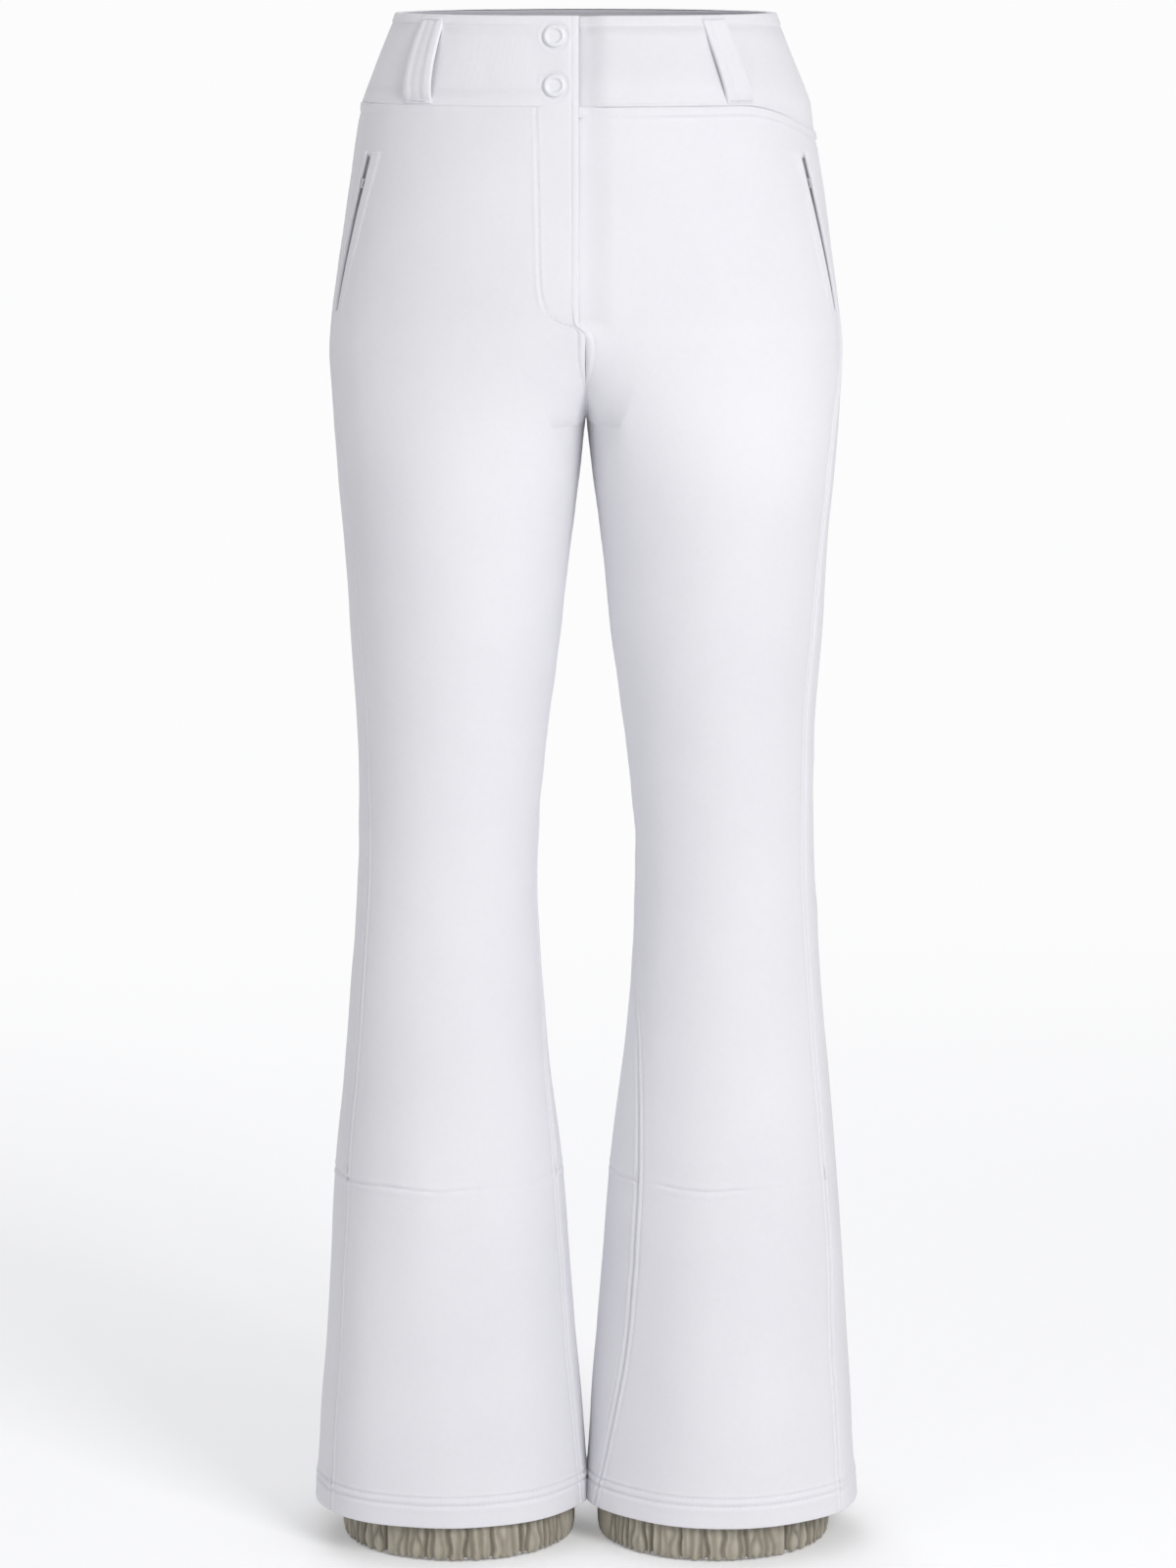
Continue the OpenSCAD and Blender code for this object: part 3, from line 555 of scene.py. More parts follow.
def drape(p, w, side):
    """Slow folds of the hanging leg and small pulls at the crotch and knee, in mm along the normal."""
    x, y, z = p[..., 0], p[..., 1], p[..., 2]
    a = np.asarray(w) * math.pi
    s = 1.7 if side > 0 else 0.0
    lower = smooth((430 - z) / 330)
    d = lower * (
        1.15 * np.sin(3 * a + 0.9 + s + z / 260) + 0.8 * np.sin(5 * a + 2.1 - s + z / 190)
        + 0.4 * np.sin(9 * a + 0.4 + 2 * s - z / 120)
    )
    d += 1.8 * (1 - smooth((z - 85) / 60))  # room for the gaiter's casing
    knee = bell(z - 515, 95)
    back = smooth((y + 20) / 60)
    d += knee * back * (0.9 * np.sin(z / 9.5 + 0.02 * x * side + s) + 0.5 * np.sin(z / 5.7 - s))
    front = smooth((-y + 5) / 40)
    for x0, z0, slope, amp in ((16, 836, 0.75, 0.5), (18, 822, 0.45, -0.5), (22, 808, 0.1, 0.45)):
        line = z - (z0 + slope * (x - x0))
        d += front * amp * bell(line, 6.0) * bell(x - x0, 18)
    seat = smooth((y - 10) / 50)
    for x0, z0, slope, amp in ((30, 792, 0.25, 0.9), (40, 768, 0.12, -0.8), (45, 745, 0.0, 0.6)):
        line = z - (z0 + slope * (x - x0))
        d += seat * amp * bell(line, 8.0) * bell(x - x0 - 15, 50)
    uneven = 0.6 * soft_noise(p, (80, 170), 11 + (side > 0)) + 0.10 * soft_noise(p, (18, 34), 23)
    return calm(p) * (d + uneven)


def pocket_line(z):
    """Angle of the pocket mouth's centre line at height z."""
    return lerp(79.0, 69.0, (z - POCKET_LOW) / POCKET_LEN)


def pocket_distance(p):
    """Signed distance from the pocket's centre line, and a mask along it."""
    z = p[..., 2]
    away = (angle_at(p[..., 0], z) - pocket_line(z)) * POCKET_MM
    return away, ridge(z, 884, 994, 4) * (p[..., 1] < 0)


def trunk_relief(p, z0, side, front):
    """Waist welt, waist seam groove and pocket channel on a seat panel."""
    a = angle_at(p[..., 0], z0)
    a = np.where(front, a, 180 - a)
    below = SEAM - z0
    if side > 0:
        strong = 0.35 + 0.65 * smooth((a - 8) / 20)
    else:
        strong = 0.5 * seam_strength(-a)
    d = strong * 1.05 * ridge(below, 0.4, 6.8, 1.4) - 0.4 * strong * bell(below - 8.4, 1.1)
    d -= roll(below) * seam_strength(side * a)
    if front:
        away, on = pocket_distance(p)
        d -= 5.6 * on * (1 - smooth((np.abs(away) - 5.5) / 3.0))
    return d


def settle(rows, cols):
    """Columns eased along z round the crotch, where distances along a row jump."""
    z = np.arange(rows[0], 866, 2.0)
    kernel = np.hanning(51)
    kernel = kernel / kernel.sum()
    share = smooth((rows - 735) / 20) * (1 - smooth((rows - 846) / 20))
    result = cols.copy()
    for k in range(cols.shape[1]):
        padded = np.pad(np.interp(z, rows, cols[:, k]), 25, mode="edge")
        soft = np.interp(rows, z, np.convolve(padded, kernel, "valid"))
        result[:, k] = lerp(cols[:, k], soft, share)
    return result


def panel_grid(side, front, rows, lower):
    """Rows of one panel: base points, w, and arc distance from both edges."""
    near = EDGE_STEPS + FLY_STEPS if front and not lower else EDGE_STEPS
    far = EDGE_STEPS + POCKET_STEPS if front and not lower else EDGE_STEPS
    edges, runs = [], []
    for z in rows:
        w_out, w_in = seam_w(z, side)
        if front:
            start, stop = float(w_in), float(w_out)
            if z > FLY_LOW - 8:
                edge = fold_x(z) if side < 0 else -14.0
                start = w_at(lerp(0.0, edge, fly_share(z)), z)
        else:  # w 2 itself is the front's first column, so a back without w_in stops just short of it
            start, stop = float(w_out), 2 + float(w_in) if w_in > 0 else 2 - 1e-7
        w = np.linspace(start, stop, 700)
        p = ring(w, np.full_like(w, z))
        run = run_along(p)
        runs.append((w, run))
        edges.append((np.interp(near, run, w), np.interp(run[-1] - np.array(far)[::-1], run, w)))
    low = eased(rows, np.array([e[0][-1] for e in edges]))
    high = -eased(rows, -np.array([e[1][0] for e in edges]))
    share = np.linspace(0, 1, 50 if front else 58)[1:-1]
    cols = np.array([
        np.concatenate([e[0], lerp(a + 0.004, b - 0.004, share), e[1]]) for e, a, b in zip(edges, low, high)
    ])
    if not lower:
        cols = settle(rows, cols)
    d0 = np.array([np.interp(c, w, run) for c, (w, run) in zip(cols, runs)])
    total = np.array([run[-1] for _, run in runs])[:, None]
    z = np.broadcast_to(rows[:, None], cols.shape)
    return ring(cols, z), cols, d0, total - d0


def w_at(x, z):
    """w at which the front of row z has the given x."""
    w = np.linspace(0, 0.6, 1200)
    return float(np.interp(x, ring(w, np.full_like(w, z))[:, 0], w))


def shell_panel(name, side, front, lower):
    """One cloth panel with its rolled edges, seams and stitching; side is 1 left and -1 right."""
    if lower:
        rows = levels(HEM, SPLIT, [(HEM, 3, 0.45), (44, 6, 0.75), (BOOT, 5, 0.8)])
    else:
        fine = [(CROTCH + 2, 5, 0.8), (SEAM, 9, 0.6), (876, 8, 2.0)]
        rows = levels(SPLIT, SEAM, fine)
    p, w, d0, d1 = panel_grid(side, front, rows, lower)
    z0 = np.broadcast_to(rows[:, None], w.shape)
    if not lower:
        a = angle_at(p[..., 0], z0)
        a = np.where(front, a, 180 - a)
        drop = seam_drop(a) if side > 0 else 0 * a
        z1 = z0 - drop * smooth((z0 - 905) / (SEAM - 905))
        p = ring(w, z1)
        if front and side > 0:
            slip = smooth((z0 - FLY_LOW + 12) / 20) * 13 * (1 - smooth(d0 / 40))
            p[..., 0] -= slip
        middle = d0 if front else d1
        p[..., 0] -= (1 - smooth(middle / 12)) * smooth((z0 - CROTCH + 2) / 14)
    n = grid_normals(p, False)
    d = drape(p, w, side)
    share = fly_share(z0) if front else 0 * z0
    d -= roll(d0) * (1 - share) + roll(d1)
    d -= 0.7 * (z0 < 1000) * (bell(d0, 1.7) * (1 - share) + bell(d1, 1.7))
    pucker = np.sin(z0 / 2.3 + side) * np.sin(z0 / 3.7)
    d += 0.16 * pucker * (bell(d1 - 4, 5) + bell(d0 - 4, 5) * (1 - share))
    for edge, on in ((d1, 1.0), (d0, 1 - share)):
        d += on * (z0 < 1020) * (0.42 * ridge(edge, 1.6, 4.6, 1.2) - 0.42 * bell(edge - 5.6, 0.75))
    if lower:
        up = z0 - HEM
        d -= roll(up)
        d += 0.5 * (1 - smooth((up - 22) / 3)) + 0.35 * bell(up - 18.4, 1.7) + 0.3 * bell(up - 12.6, 1.9)
        d -= sum(bell(up - stitches, 0.95) for stitches in HEM_STITCHES)
        d += 0.10 * bell(up - 18, 4) * np.sin(w * 260)
        line = BOOT + 0.8 * np.sin(w * 23 + side)
        if side > 0:
            patch = 0.12 + 0.88 * ridge(w, 0.30, 0.54, 0.10)
        else:
            patch = 0.15 + 0.85 * smooth((w - 0.30) / 0.35)
        patch = np.where(w > 1.02, 0.6, patch) * (1 + 0.25 * np.sin(w * 61))
        up = z0 - line
        d += patch * (0.55 * bell(up + 3, 1.9) + 0.4 * bell(up - 3, 1.9) - 1.15 * bell(up, 1.0))
    else:
        d += trunk_relief(p, z0, side, front)
        if front and side > 0:
            sunk = fly_share(z0) * smooth((20 - p[..., 0]) / 22)
            d = d * (1 - 0.6 * sunk) - 3.4 * sunk
        if front and side < 0:
            d -= topstitch_groove(p[..., 0], p[..., 2])
    out = p + n * d[..., None]
    return sheet(name, out, out - n * SHELL_T, [SHELL, LINING], flip=side < 0)


def smooth_path(points, count):
    """Resampled path through points, with its corners eased."""
    pts = np.array(points, float)
    for _ in range(2):
        q = [pts[0]]
        for a, b in zip(pts[:-1], pts[1:]):
            q += [lerp(a, b, 0.25), lerp(a, b, 0.75)]
        pts = np.array(q + [pts[-1]])
    run = run_along(pts)
    s = np.linspace(0, run[-1], count)
    return np.stack([np.interp(s, run, pts[:, k]) for k in range(pts.shape[1])], 1)


J_PATH = smooth_path([
    (35.6, 1033), (35.0, 1005), (34.3, 970), (33.6, 935), (33.0, 908), (31.4, 896), (28.0, 888.5),
    (22.5, 883.5), (15.5, 880.2), (9.0, 878.6)
], 90)


def j_distance(x, z):
    """Signed distance from the fly's topstitch in the front view."""
    shape = x.shape
    q = np.stack([x.ravel(), z.ravel()], 1)
    delta = q[:, None, :] - J_PATH[None]
    dist = np.linalg.norm(delta, axis=2)
    k = dist.argmin(1)
    sign = np.where(delta[np.arange(len(q)), k, 0] > 0, 1, -1)
    return (dist.min(1) * sign).reshape(shape)


def topstitch_groove(x, z):
    """Depth of the groove under the fly's topstitch, with the cloth raised on both sides of it."""
    away = j_distance(x, z)
    return 0.62 * bell(away, 0.95) - 0.30 * bell(away - 2.2, 1.3) - 0.25 * bell(away + 2.2, 1.3)


def points_of(obj):
    co = np.zeros(len(obj.data.vertices) * 3, np.float32)
    obj.data.vertices.foreach_get("co", co)
    return co.reshape(-1, 3).astype(float)


def hip_weight(co):
    """How far cloth follows the thigh: the crease slants up to the hip, clear of the fly and pockets."""
    x, z = np.abs(co[:, 0]) / MM, co[:, 2] / MM
    crease = 820 + 85 * smooth((x - 35) / 60) - 27 * smooth((x - 120) / 40)
    foot = 655 + 105 * smooth(x / 170)
    return smooth((crease - z) / (crease - foot))


def knee_weight(co):
    return smooth((590 - co[:, 2] / MM) / 180)


def bend_hip(obj):
    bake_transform(obj)
    hip_weight(points_of(obj))


def bend_knee(obj):
    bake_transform(obj)
    knee_weight(points_of(obj))


for side, sign in SIDES:
    for face, front in (("front", True), ("back", False)):
        upper = shell_panel(f"seat_{face}_{side}", sign, front, False)
        bend_hip(upper)
        stand_for(upper, "shell", f"hip_{face}_{side}", f"thigh_{face}_{side}")
        low = shell_panel(f"leg_{face}_{side}", sign, front, True)
        bend_knee(low)
        stand_for(low, "shell", f"shin_{face}_{side}")


# ------------ waistband

def rucks(a, z):
    """Small gathers where the back of the band is elasticated."""
    m = np.abs(signed(a))
    on = smooth((m - 100) / 8)
    body = ridge(z, SEAM + 9, TOP - 11, 8)
    wobble = 2.2 * np.sin(a / 7.3) + 1.4 * np.sin(a / 3.1 + z / 18)
    wave = 0.55 * np.sin(a * 1.35 + wobble) + 0.25 * np.sin(a * 2.9 + wobble * 2 + z / 25)
    return on * (0.25 + 0.75 * body) * wave


def band_relief(a, z, up):
    """Gathers, rolled edges, seam groove and the folded binding along the top."""
    p = waist(a, z)
    d = rucks(a, z) + 0.35 * soft_noise(p, (40, 90), 31) * calm(p)
    d -= roll(up) * seam_strength(a) + roll((BAND_H - up) * 0.8)
    m = np.abs(signed(a))
    d -= 0.3 * bell(up - 2.8, 0.7) * seam_strength(a)
    strip = smooth((m - 44) / 2)
    d += strip * 0.75 * ridge(up, 57.6, 70, 0.8) - strip * 0.3 * bell(up - 56.8, 0.8)
    return d


def band_piece():
    """Waistband all round; it starts under the flap and ends at the flap's slanting fold."""
    spans = ((-22, 40, 74), (41, 98, 50), (98.6, 261.4, 330), (262, 343, 70))
    angles = np.concatenate([np.linspace(*span) for span in spans])
    up = np.concatenate([
        [0, 0.3, 0.7, 1.2, 1.9, 3.0, 4.5], np.linspace(6.5, 56, 18),
        [57.2, 57.8, 58.3, 59.0, 60.5, 62, 63, 63.7, 64.2, BAND_H]
    ])[:, None]
    low = SEAM - seam_drop(signed(angles))[None, :]
    z = low + up * (BAND_TOP - low) / BAND_H
    ends = 360 - angle_at(fold_x(z[:, -1]), z[:, -1])
    aa = np.broadcast_to(angles, z.shape)
    aa = aa + smooth((aa - 300) / 43) * (ends[:, None] - angles[-1])
    p = waist(aa, z)
    n = grid_normals(p, False)
    d = band_relief(aa, z, up)
    x = half_w(z) * np.sin(np.radians(aa))
    sunk = np.where(aa < 90, smooth((17 - x) / 19), 0)
    bulge = np.where(aa < 90, bell(x - 9, 9) * (0.7 * np.sin(z / 7.5) + 0.5), 0)
    out = p + n * (d - 5.2 * sunk + bulge * 0.7)[..., None]
    return sheet("waistband", out, out - n * 2.0, [SHELL, LINING])


def facing_piece():
    """Inner layer of the waistband, with a stitch line near each edge."""
    angles = np.concatenate([np.linspace(6, 97, 60), np.linspace(98, 262, 300), np.linspace(263, 342, 60)])
    rows = np.concatenate([[0, 0.4, 1], np.linspace(3, 58, 24), [60.4, 61, 61.4]])
    up = rows[:, None]
    z = np.broadcast_to(SEAM + 2 + up, (len(rows), len(angles)))
    p = waist(angles, z, 3.4)
    n = grid_normals(p, False)
    d = 0.7 * rucks(angles, z) - 0.35 * bell(up - 8, 1.0) - 0.35 * bell(up - 54, 1.0)
    d = d - 0.5 * roll(up) - 0.5 * roll(rows[-1] - up)
    return sheet("waistband_facing_cloth", p + n * 0.3, p - n * (0.7 + d[..., None]), [LINING, LINING])


band_nodes = ("waistband_left", "waistband_right", "waistband_back", "waistband_binding")
stand_for(band_piece(), "shell", *band_nodes, body="hips")
stand_for(facing_piece(), "lining", "waistband_facing", body="hips")


# ------------ fly flap

def flap_piece(name, inset, edge_in, depth0, thick, z_from, z_to, material, detail):
    """One layer of the flap, from its free edge to its fold; it is built on the left and mirrored."""
    rows = np.concatenate([
        levels(z_from, SEAM + 4, [(SEAM, 5, 0.6)], 2.0), levels(SEAM + 4.6, z_to, [(z_to, 4, 0.5)], 1.1)
    ])
    s = np.concatenate([[0, 0.008, 0.02, 0.035, 0.055, 0.085], np.linspace(0.11, 0.98, 56), [1.0]])
    z = np.broadcast_to(rows[:, None], (len(rows), len(s)))
    share = fly_share(z)
    free = lerp(0.05, 5.2 + edge_in, share)
    fold = lerp(0.1, fold_x(z) - inset, share)
    x = lerp(free, fold, s[None, :])
    p = waist(angle_at(x, z), z)
    n = grid_normals(p, False)
    edge = np.linalg.norm(p - p[:, :1], axis=-1)
    d = -depth0 - roll(edge)
    if detail:
        near = smooth((fold - x) / 24)
        d = d - roll((BAND_TOP - z) * 0.8) - (z < SEAM) * topstitch_groove(x, z)
        d = d - 0.10 * bell(z - SEAM, 0.9) - 0.34 * bell(edge - 5.4, 0.75) + 0.2 * bell(edge - 3.0, 1.4)
        d = d + near * (0.9 * bell(x - 14, 10) * bell(z - 1066, 22) + 0.5 * bell(z - 985, 40))
        for cap_z in SNAP_HEIGHTS:
            ring_away = np.hypot(x - SNAP_X, z - cap_z) - 9.0
            d = d - 0.55 * bell(ring_away, 1.0) + 0.25 * bell(ring_away - 2.6, 1.6)
    out = p + n * d[..., None]
    return sheet(name, out, out - n * thick, [material, LINING], flip=True)


def bend_flap(obj):
    """Bakes the piece's placement into its points and reads them back in millimetres."""
    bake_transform(obj)
    co = points_of(obj) / MM


flap = flap_piece("fly_flap_cloth", 0, 0, 0.0, 1.6, 873.0, BAND_TOP, SHELL, True)
bend_flap(flap)
stand_for(flap, "shell", "flap_band", "flap_front")
flap_lining = flap_piece("fly_flap_facing_cloth", 3.0, 2.0, 1.65, 0.8, 902.0, TOP - 3, LINING, False)
bend_flap(flap_lining)
stand_for(flap_lining, "lining", "flap_facing")


# ------------ belt loops

# Name, angle at the top and at the foot, half width in degrees, gap behind it, height of its lower bartack.
LOOPS = (
    ("front_left", 41.0, 43.0, 4.6, 3.2, 1036), ("front_right", -52.4, -48.0, 5.2, 5.2, 1036.5),
    ("back_left", 122, 124, 5.2, 2.2, 1036), ("back_right", -122, -124, 5.2, 2.2, 1036),
    ("back_centre", 180, 180, 5.2, 2.2, 1036)
)
LOOP_NODES = {"front_left": ["belt_loops_front"], "back_left": ["belt_loops_back"]}


def belt_loop(name, top_a, low_a, half_a, gap):
    """Folded strip with two raised edges that stands off the waistband between its ends."""
    v = np.linspace(0, 1, 30)[:, None]
    half = np.array([0, 0.2, 0.36, 0.5, 0.66, 0.8, 0.9, 0.97, 1])
    s = np.concatenate([-half[:0:-1], half])[None, :]
    drop = float(seam_drop(np.array(low_a)))
    p = waist(lerp(low_a, top_a, v) + half_a * s, lerp(SEAM + 1.5 - drop * 0.8, TOP - 2.5, v))
    n = grid_normals(p, False)
    d = 1.5 + gap * np.sin(math.pi * np.clip((v - 0.04) / 0.92, 0, 1) ** 0.62) ** 0.9
    d = d - roll((1 - np.abs(s)) * 11 * 0.9) * 0.8
    d = d + 0.55 * bell(np.abs(s) - 0.62, 0.15) - 0.45 * bell(np.abs(s) - 0.36, 0.09)
    d = d - 0.5 * (bell(v - 0.015, 0.025) + bell(v - 0.985, 0.025))
    out = p + n * d[..., None]
    return sheet("belt_loop_" + name, out, out - n * 1.6, [SHELL, SHELL])


for name, top_a, low_a, half_a, gap, _ in LOOPS:
    loop = belt_loop(name, top_a, low_a, half_a, gap)
    stand_for(loop, "shell", *LOOP_NODES.get(name, []), body="hips")


# ------------ frames on the front, snaps

def tangents(surface, u, z, step):
    """Point of a surface(u, z), with its unit directions along u and outward."""
    across = surface(u + step, z) - surface(u - step, z)
    up = surface(u, z + 1) - surface(u, z - 1)
    return surface(u, z), unit(across), unit(np.cross(across, up))


def front_frame(x, z):
    """Point on the front surface with its across and outward directions."""
    return tangents(waist, float(angle_at(x, z)), z, 0.5)


def lathe(profile, origin, across, out):
    """Surface of revolution of (radius, height) points, whose first and last lie on the axis."""
    count = 96
    t = np.linspace(0, 2 * math.pi, count, endpoint=False)
    ring_dir = np.cos(t)[:, None] * across + np.sin(t)[:, None] * np.cross(out, across)
    verts = np.concatenate([origin + ring_dir * radius + out * height for radius, height in profile[1:-1]])
    rows = len(profile) - 2
    faces = []
    for j in range(rows - 1):
        for i in range(count):
            k = (i + 1) % count
            faces.append([j * count + i, (j + 1) * count + i, (j + 1) * count + k, j * count + k])
    first, last = len(verts), len(verts) + 1
    verts = np.concatenate([verts, [origin + out * profile[0][1], origin + out * profile[-1][1]]])
    for i in range(count):
        k = (i + 1) % count
        faces.append([first, i, k])
        faces.append([last, (rows - 1) * count + k, (rows - 1) * count + i])
    return verts, faces


def joined(name, parts, material):
    """One piece from many (points, faces)."""
    verts, faces, base = [], [], 0
    for v, f in parts:
        verts.append(v)
        faces += [[base + k for k in face] for face in f]
        base += len(v)
    return make_object(name, np.concatenate(verts), faces, [material])


CAP = [(0, 0.82), (1.6, 0.8), (3.3, 0.74), (4.3, 0.74), (4.7, 0.95), (4.95, 1.5), (5.35, 1.98), (6.0, 2.2),
       (6.7, 2.1), (7.3, 1.75), (7.75, 1.2), (7.98, 0.6), (8.0, 0.1), (7.6, -0.05), (0, -0.05)]


def snap_cap(z):
    origin, across, out = front_frame(-SNAP_X, z)
    return lathe(CAP, origin + out * 0.35, across, out)


caps = joined("snap_cap_rings", [snap_cap(z) for z in SNAP_HEIGHTS], ENAMEL)
stand_for(caps, "snap_plastic", "snap_caps", body="fly_flap")


# ------------ stitches

# Share along a stitch, its relative thickness and its height there.
SPINDLE = ((0.0, 0.45, -0.32), (0.2, 0.95, 0.0), (0.5, 1.05, 0.12), (0.8, 0.95, 0.0), (1.0, 0.45, -0.32))


def stitch(a, b, out, radius=0.36):
    """One sewn stitch from a to b: a spindle that dives into the cloth at both ends."""
    side = unit(np.cross(b - a, out))
    t = np.linspace(0, 2 * math.pi, 6, endpoint=False)
    section = np.cos(t)[:, None] * side + np.sin(t)[:, None] * out
    verts = np.concatenate([a + (b - a) * s + out * h + section * radius * r for s, r, h in SPINDLE])
    faces = []
    for j in range(4):
        for i in range(6):
            k = (i + 1) % 6
            faces.append([j * 6 + i, j * 6 + k, (j + 1) * 6 + k, (j + 1) * 6 + i])
    faces.append([5, 4, 3, 2, 1, 0])
    faces.append([24, 25, 26, 27, 28, 29])
    return verts, faces


def stitch_line(points, outs, length, gap):
    """Stitches along a path, with the outward direction given at each path point."""
    run = run_along(points)
    parts = []
    s = 0.6
    while s + length < run[-1]:
        def at(q, arr):
            return np.array([np.interp(q, run, arr[:, k]) for k in range(3)])
        parts.append(stitch(at(s, points), at(s + length, points), unit(at(s + length / 2, outs))))
        s += length + gap
    return parts


frames = [front_frame(-x, z) for x, z in J_PATH]
j_outs = np.array([out for _, _, out in frames])
j_points = np.array([p for p, _, _ in frames]) - 0.42 * j_outs
stand_for(joined("fly_topstitch", stitch_line(j_points, j_outs, 2.6, 1.3), THREAD), "shell", body="hips")


def bartack(p, along, out, length=9.0, width=1.8, count=13):
    """Dense zigzag that locks a seam end."""
    side = np.cross(along, out)
    parts = []
    for i in range(count):
        c = p + along * (i / (count - 1) - 0.5) * length
        parts.append(stitch(c - side * width / 2, c + side * width / 2, out, 0.3))
    return parts


def leg_point(w, z, side, lift):
    """Point and outward direction on a leg's smooth surface."""
    p, _, n = tangents(ring, w, z, 0.002)
    p = p + n * (lift + float(drape(p, w, side)))
    mirror = np.array([side, 1, 1])
    return p * mirror, n * mirror


def hem_stitching(sign):
    """Two rows of stitches round the hem, and a bartack on each seam at the gaiter's line."""
    parts = []
    for up in HEM_STITCHES:
        pairs = np.array([leg_point(w, HEM + up, sign, -0.2) for w in np.linspace(0.0, 2.0, 420)])
        parts += stitch_line(pairs[:, 0], pairs[:, 1], 2.6, 1.2)
    for w in seam_w(np.array(BOOT), sign):
        p, n = leg_point(float(w), BOOT + 3, sign, 0.1)
        q, _ = leg_point(float(w), BOOT + 5, sign, 0.1)
        parts += bartack(p, unit(q - p), n)
    return parts


def loop_tack(a, z):
    p, across, out = tangents(waist, a, z, 0.4)
    return bartack(p + out * 1.75, across, out, 17.0, 1.6, 26)


for side, sign in SIDES:
    stand_for(joined(f"hem_stitching_{side}", hem_stitching(sign), THREAD), "shell", body="shin_" + side)

p, across, out = front_frame(-4.0, 1026.5)
tacks = bartack(p + out * -0.2, across, out, 6.0, 2.0, 10)
for _, top_a, low_a, _, _, low_z in LOOPS:
    tacks += loop_tack(top_a, 1094) + loop_tack(low_a, low_z - float(seam_drop(np.array(low_a))) * 0.8)
stand_for(joined("bartacks", tacks, THREAD), "shell", body="hips")


# ------------ pockets

# Distances of a lip's two edges from the middle of the mouth.
LIP_GAP, LIP_EDGE = 3.15, 13.6


def pocket_lip(sign, side, face):
    """Folded strip on one side of the pocket's mouth; the front one is laid out the other way round."""
    z = np.concatenate([[880, 880.4, 881, 882, 884], np.linspace(887, 992, 40), [995, 997, 998, 998.6, 999]])
    z = z[:, None]
    edge = np.array([0, 0.25, 0.6, 1.1, 1.8, 3.0, 4.5, 6.0, 7.2, 8.1, 8.8, 9.2, 9.4])[None, :]
    way = 1 if face == "back" else -1
    dist = way * (LIP_GAP + edge * (LIP_EDGE - LIP_GAP) / edge.max())
    p = waist(pocket_line(z) + dist / POCKET_MM, z)
    n = way * grid_normals(p, False)
    ends = np.minimum(z - z[0], z[-1] - z)
    h = 0.1 + 0.7 * smooth((9.5 - edge) / 3) - roll(edge) - roll(ends) * 0.9 - 0.35 * bell(edge - 5.2, 0.6)
    out = p + n * h[..., None]
    inn = p + n * np.minimum(h - 0.5, -0.2)[..., None]
    lip = sheet(f"pocket_lip_{face}_{side}", out, inn, [SHELL, SHELL], flip=sign < 0)
    if face == "front":
        lip.data.flip_normals()
    return lip


def pocket_bag(sign, side):
    v = np.linspace(0, 1, 26)[:, None]
    s = np.linspace(-1, 1, 28)[None, :]
    narrow = 1 - 0.3 * (1 - v) ** 3
    p = waist(64.0 + 21.0 * narrow * s, lerp(822.0, 984.0, v), 10.5)
    n = grid_normals(p, False)
    puff = 1.6 * (1 - s**4) * (1 - (2 * v - 1) ** 4)
    crinkle = 0.5 * soft_noise(p, (22, 50), 41)
    out = p + n * (puff * 0.4 + crinkle)[..., None]
    inn = p - n * (1.2 + puff - crinkle)[..., None]
    return sheet(f"pocket_bag_cloth_{side}", out, inn, [LINING, LINING], flip=sign < 0)


for side, sign in SIDES:
    stand_for(pocket_lip(sign, side, "front"), "shell", "pocket_welts_" + side, body="hips")
    stand_for(pocket_lip(sign, side, "back"), "shell", body="hips")
    bag = pocket_bag(sign, side)
    bend_hip(bag)
    stand_for(bag, "lining", "pocket_bag_" + side)


# ------------ gaiters

def leg_ring_at(th, z, d):
    """Point on the leg's ring at ring share th, d inside the outer surface."""
    p = ring(th * 2, z)
    du = ring(th * 2 + 0.004, z) - ring(th * 2 - 0.004, z)
    n = np.cross(du, np.array([0, 0, 1.0]))
    return p - n * d / np.maximum(np.linalg.norm(n, axis=-1, keepdims=True), 1e-9)


FOLDS = 96
fold_place = (np.arange(FOLDS) + rng.uniform(-0.30, 0.30, FOLDS)) / FOLDS
fold_size = rng.uniform(0.45, 1.0, FOLDS) * np.where(rng.random(FOLDS) < 0.14, 0.35, 1.0)
fold_lean = rng.normal(0, 0.34, FOLDS)
fold_twist = rng.normal(0, 0.22, FOLDS)


def gather(th, v):
    """Irregular gathers, 0 in a valley and 1 on a ridge; each valley leans and bends its own way."""
    th, v = np.broadcast_arrays(th, v)
    best = np.full(th.shape, 9.0)
    deep = np.zeros(th.shape)
    for k in range(-1, FOLDS + 1):
        i = k % FOLDS
        lean = fold_lean[i] * (v - 0.5) + fold_twist[i] * np.sin(2 * math.pi * v)
        away = np.abs(th - (fold_place[i] + (k - i) / FOLDS) - lean / FOLDS) * FOLDS
        near = away < best
        deep = np.where(near, fold_size[i], deep)
        best = np.minimum(best, away)
    valley = 1 - np.clip(best / 0.62, 0, 1)
    return 1 - deep * smooth(valley * 1.05)


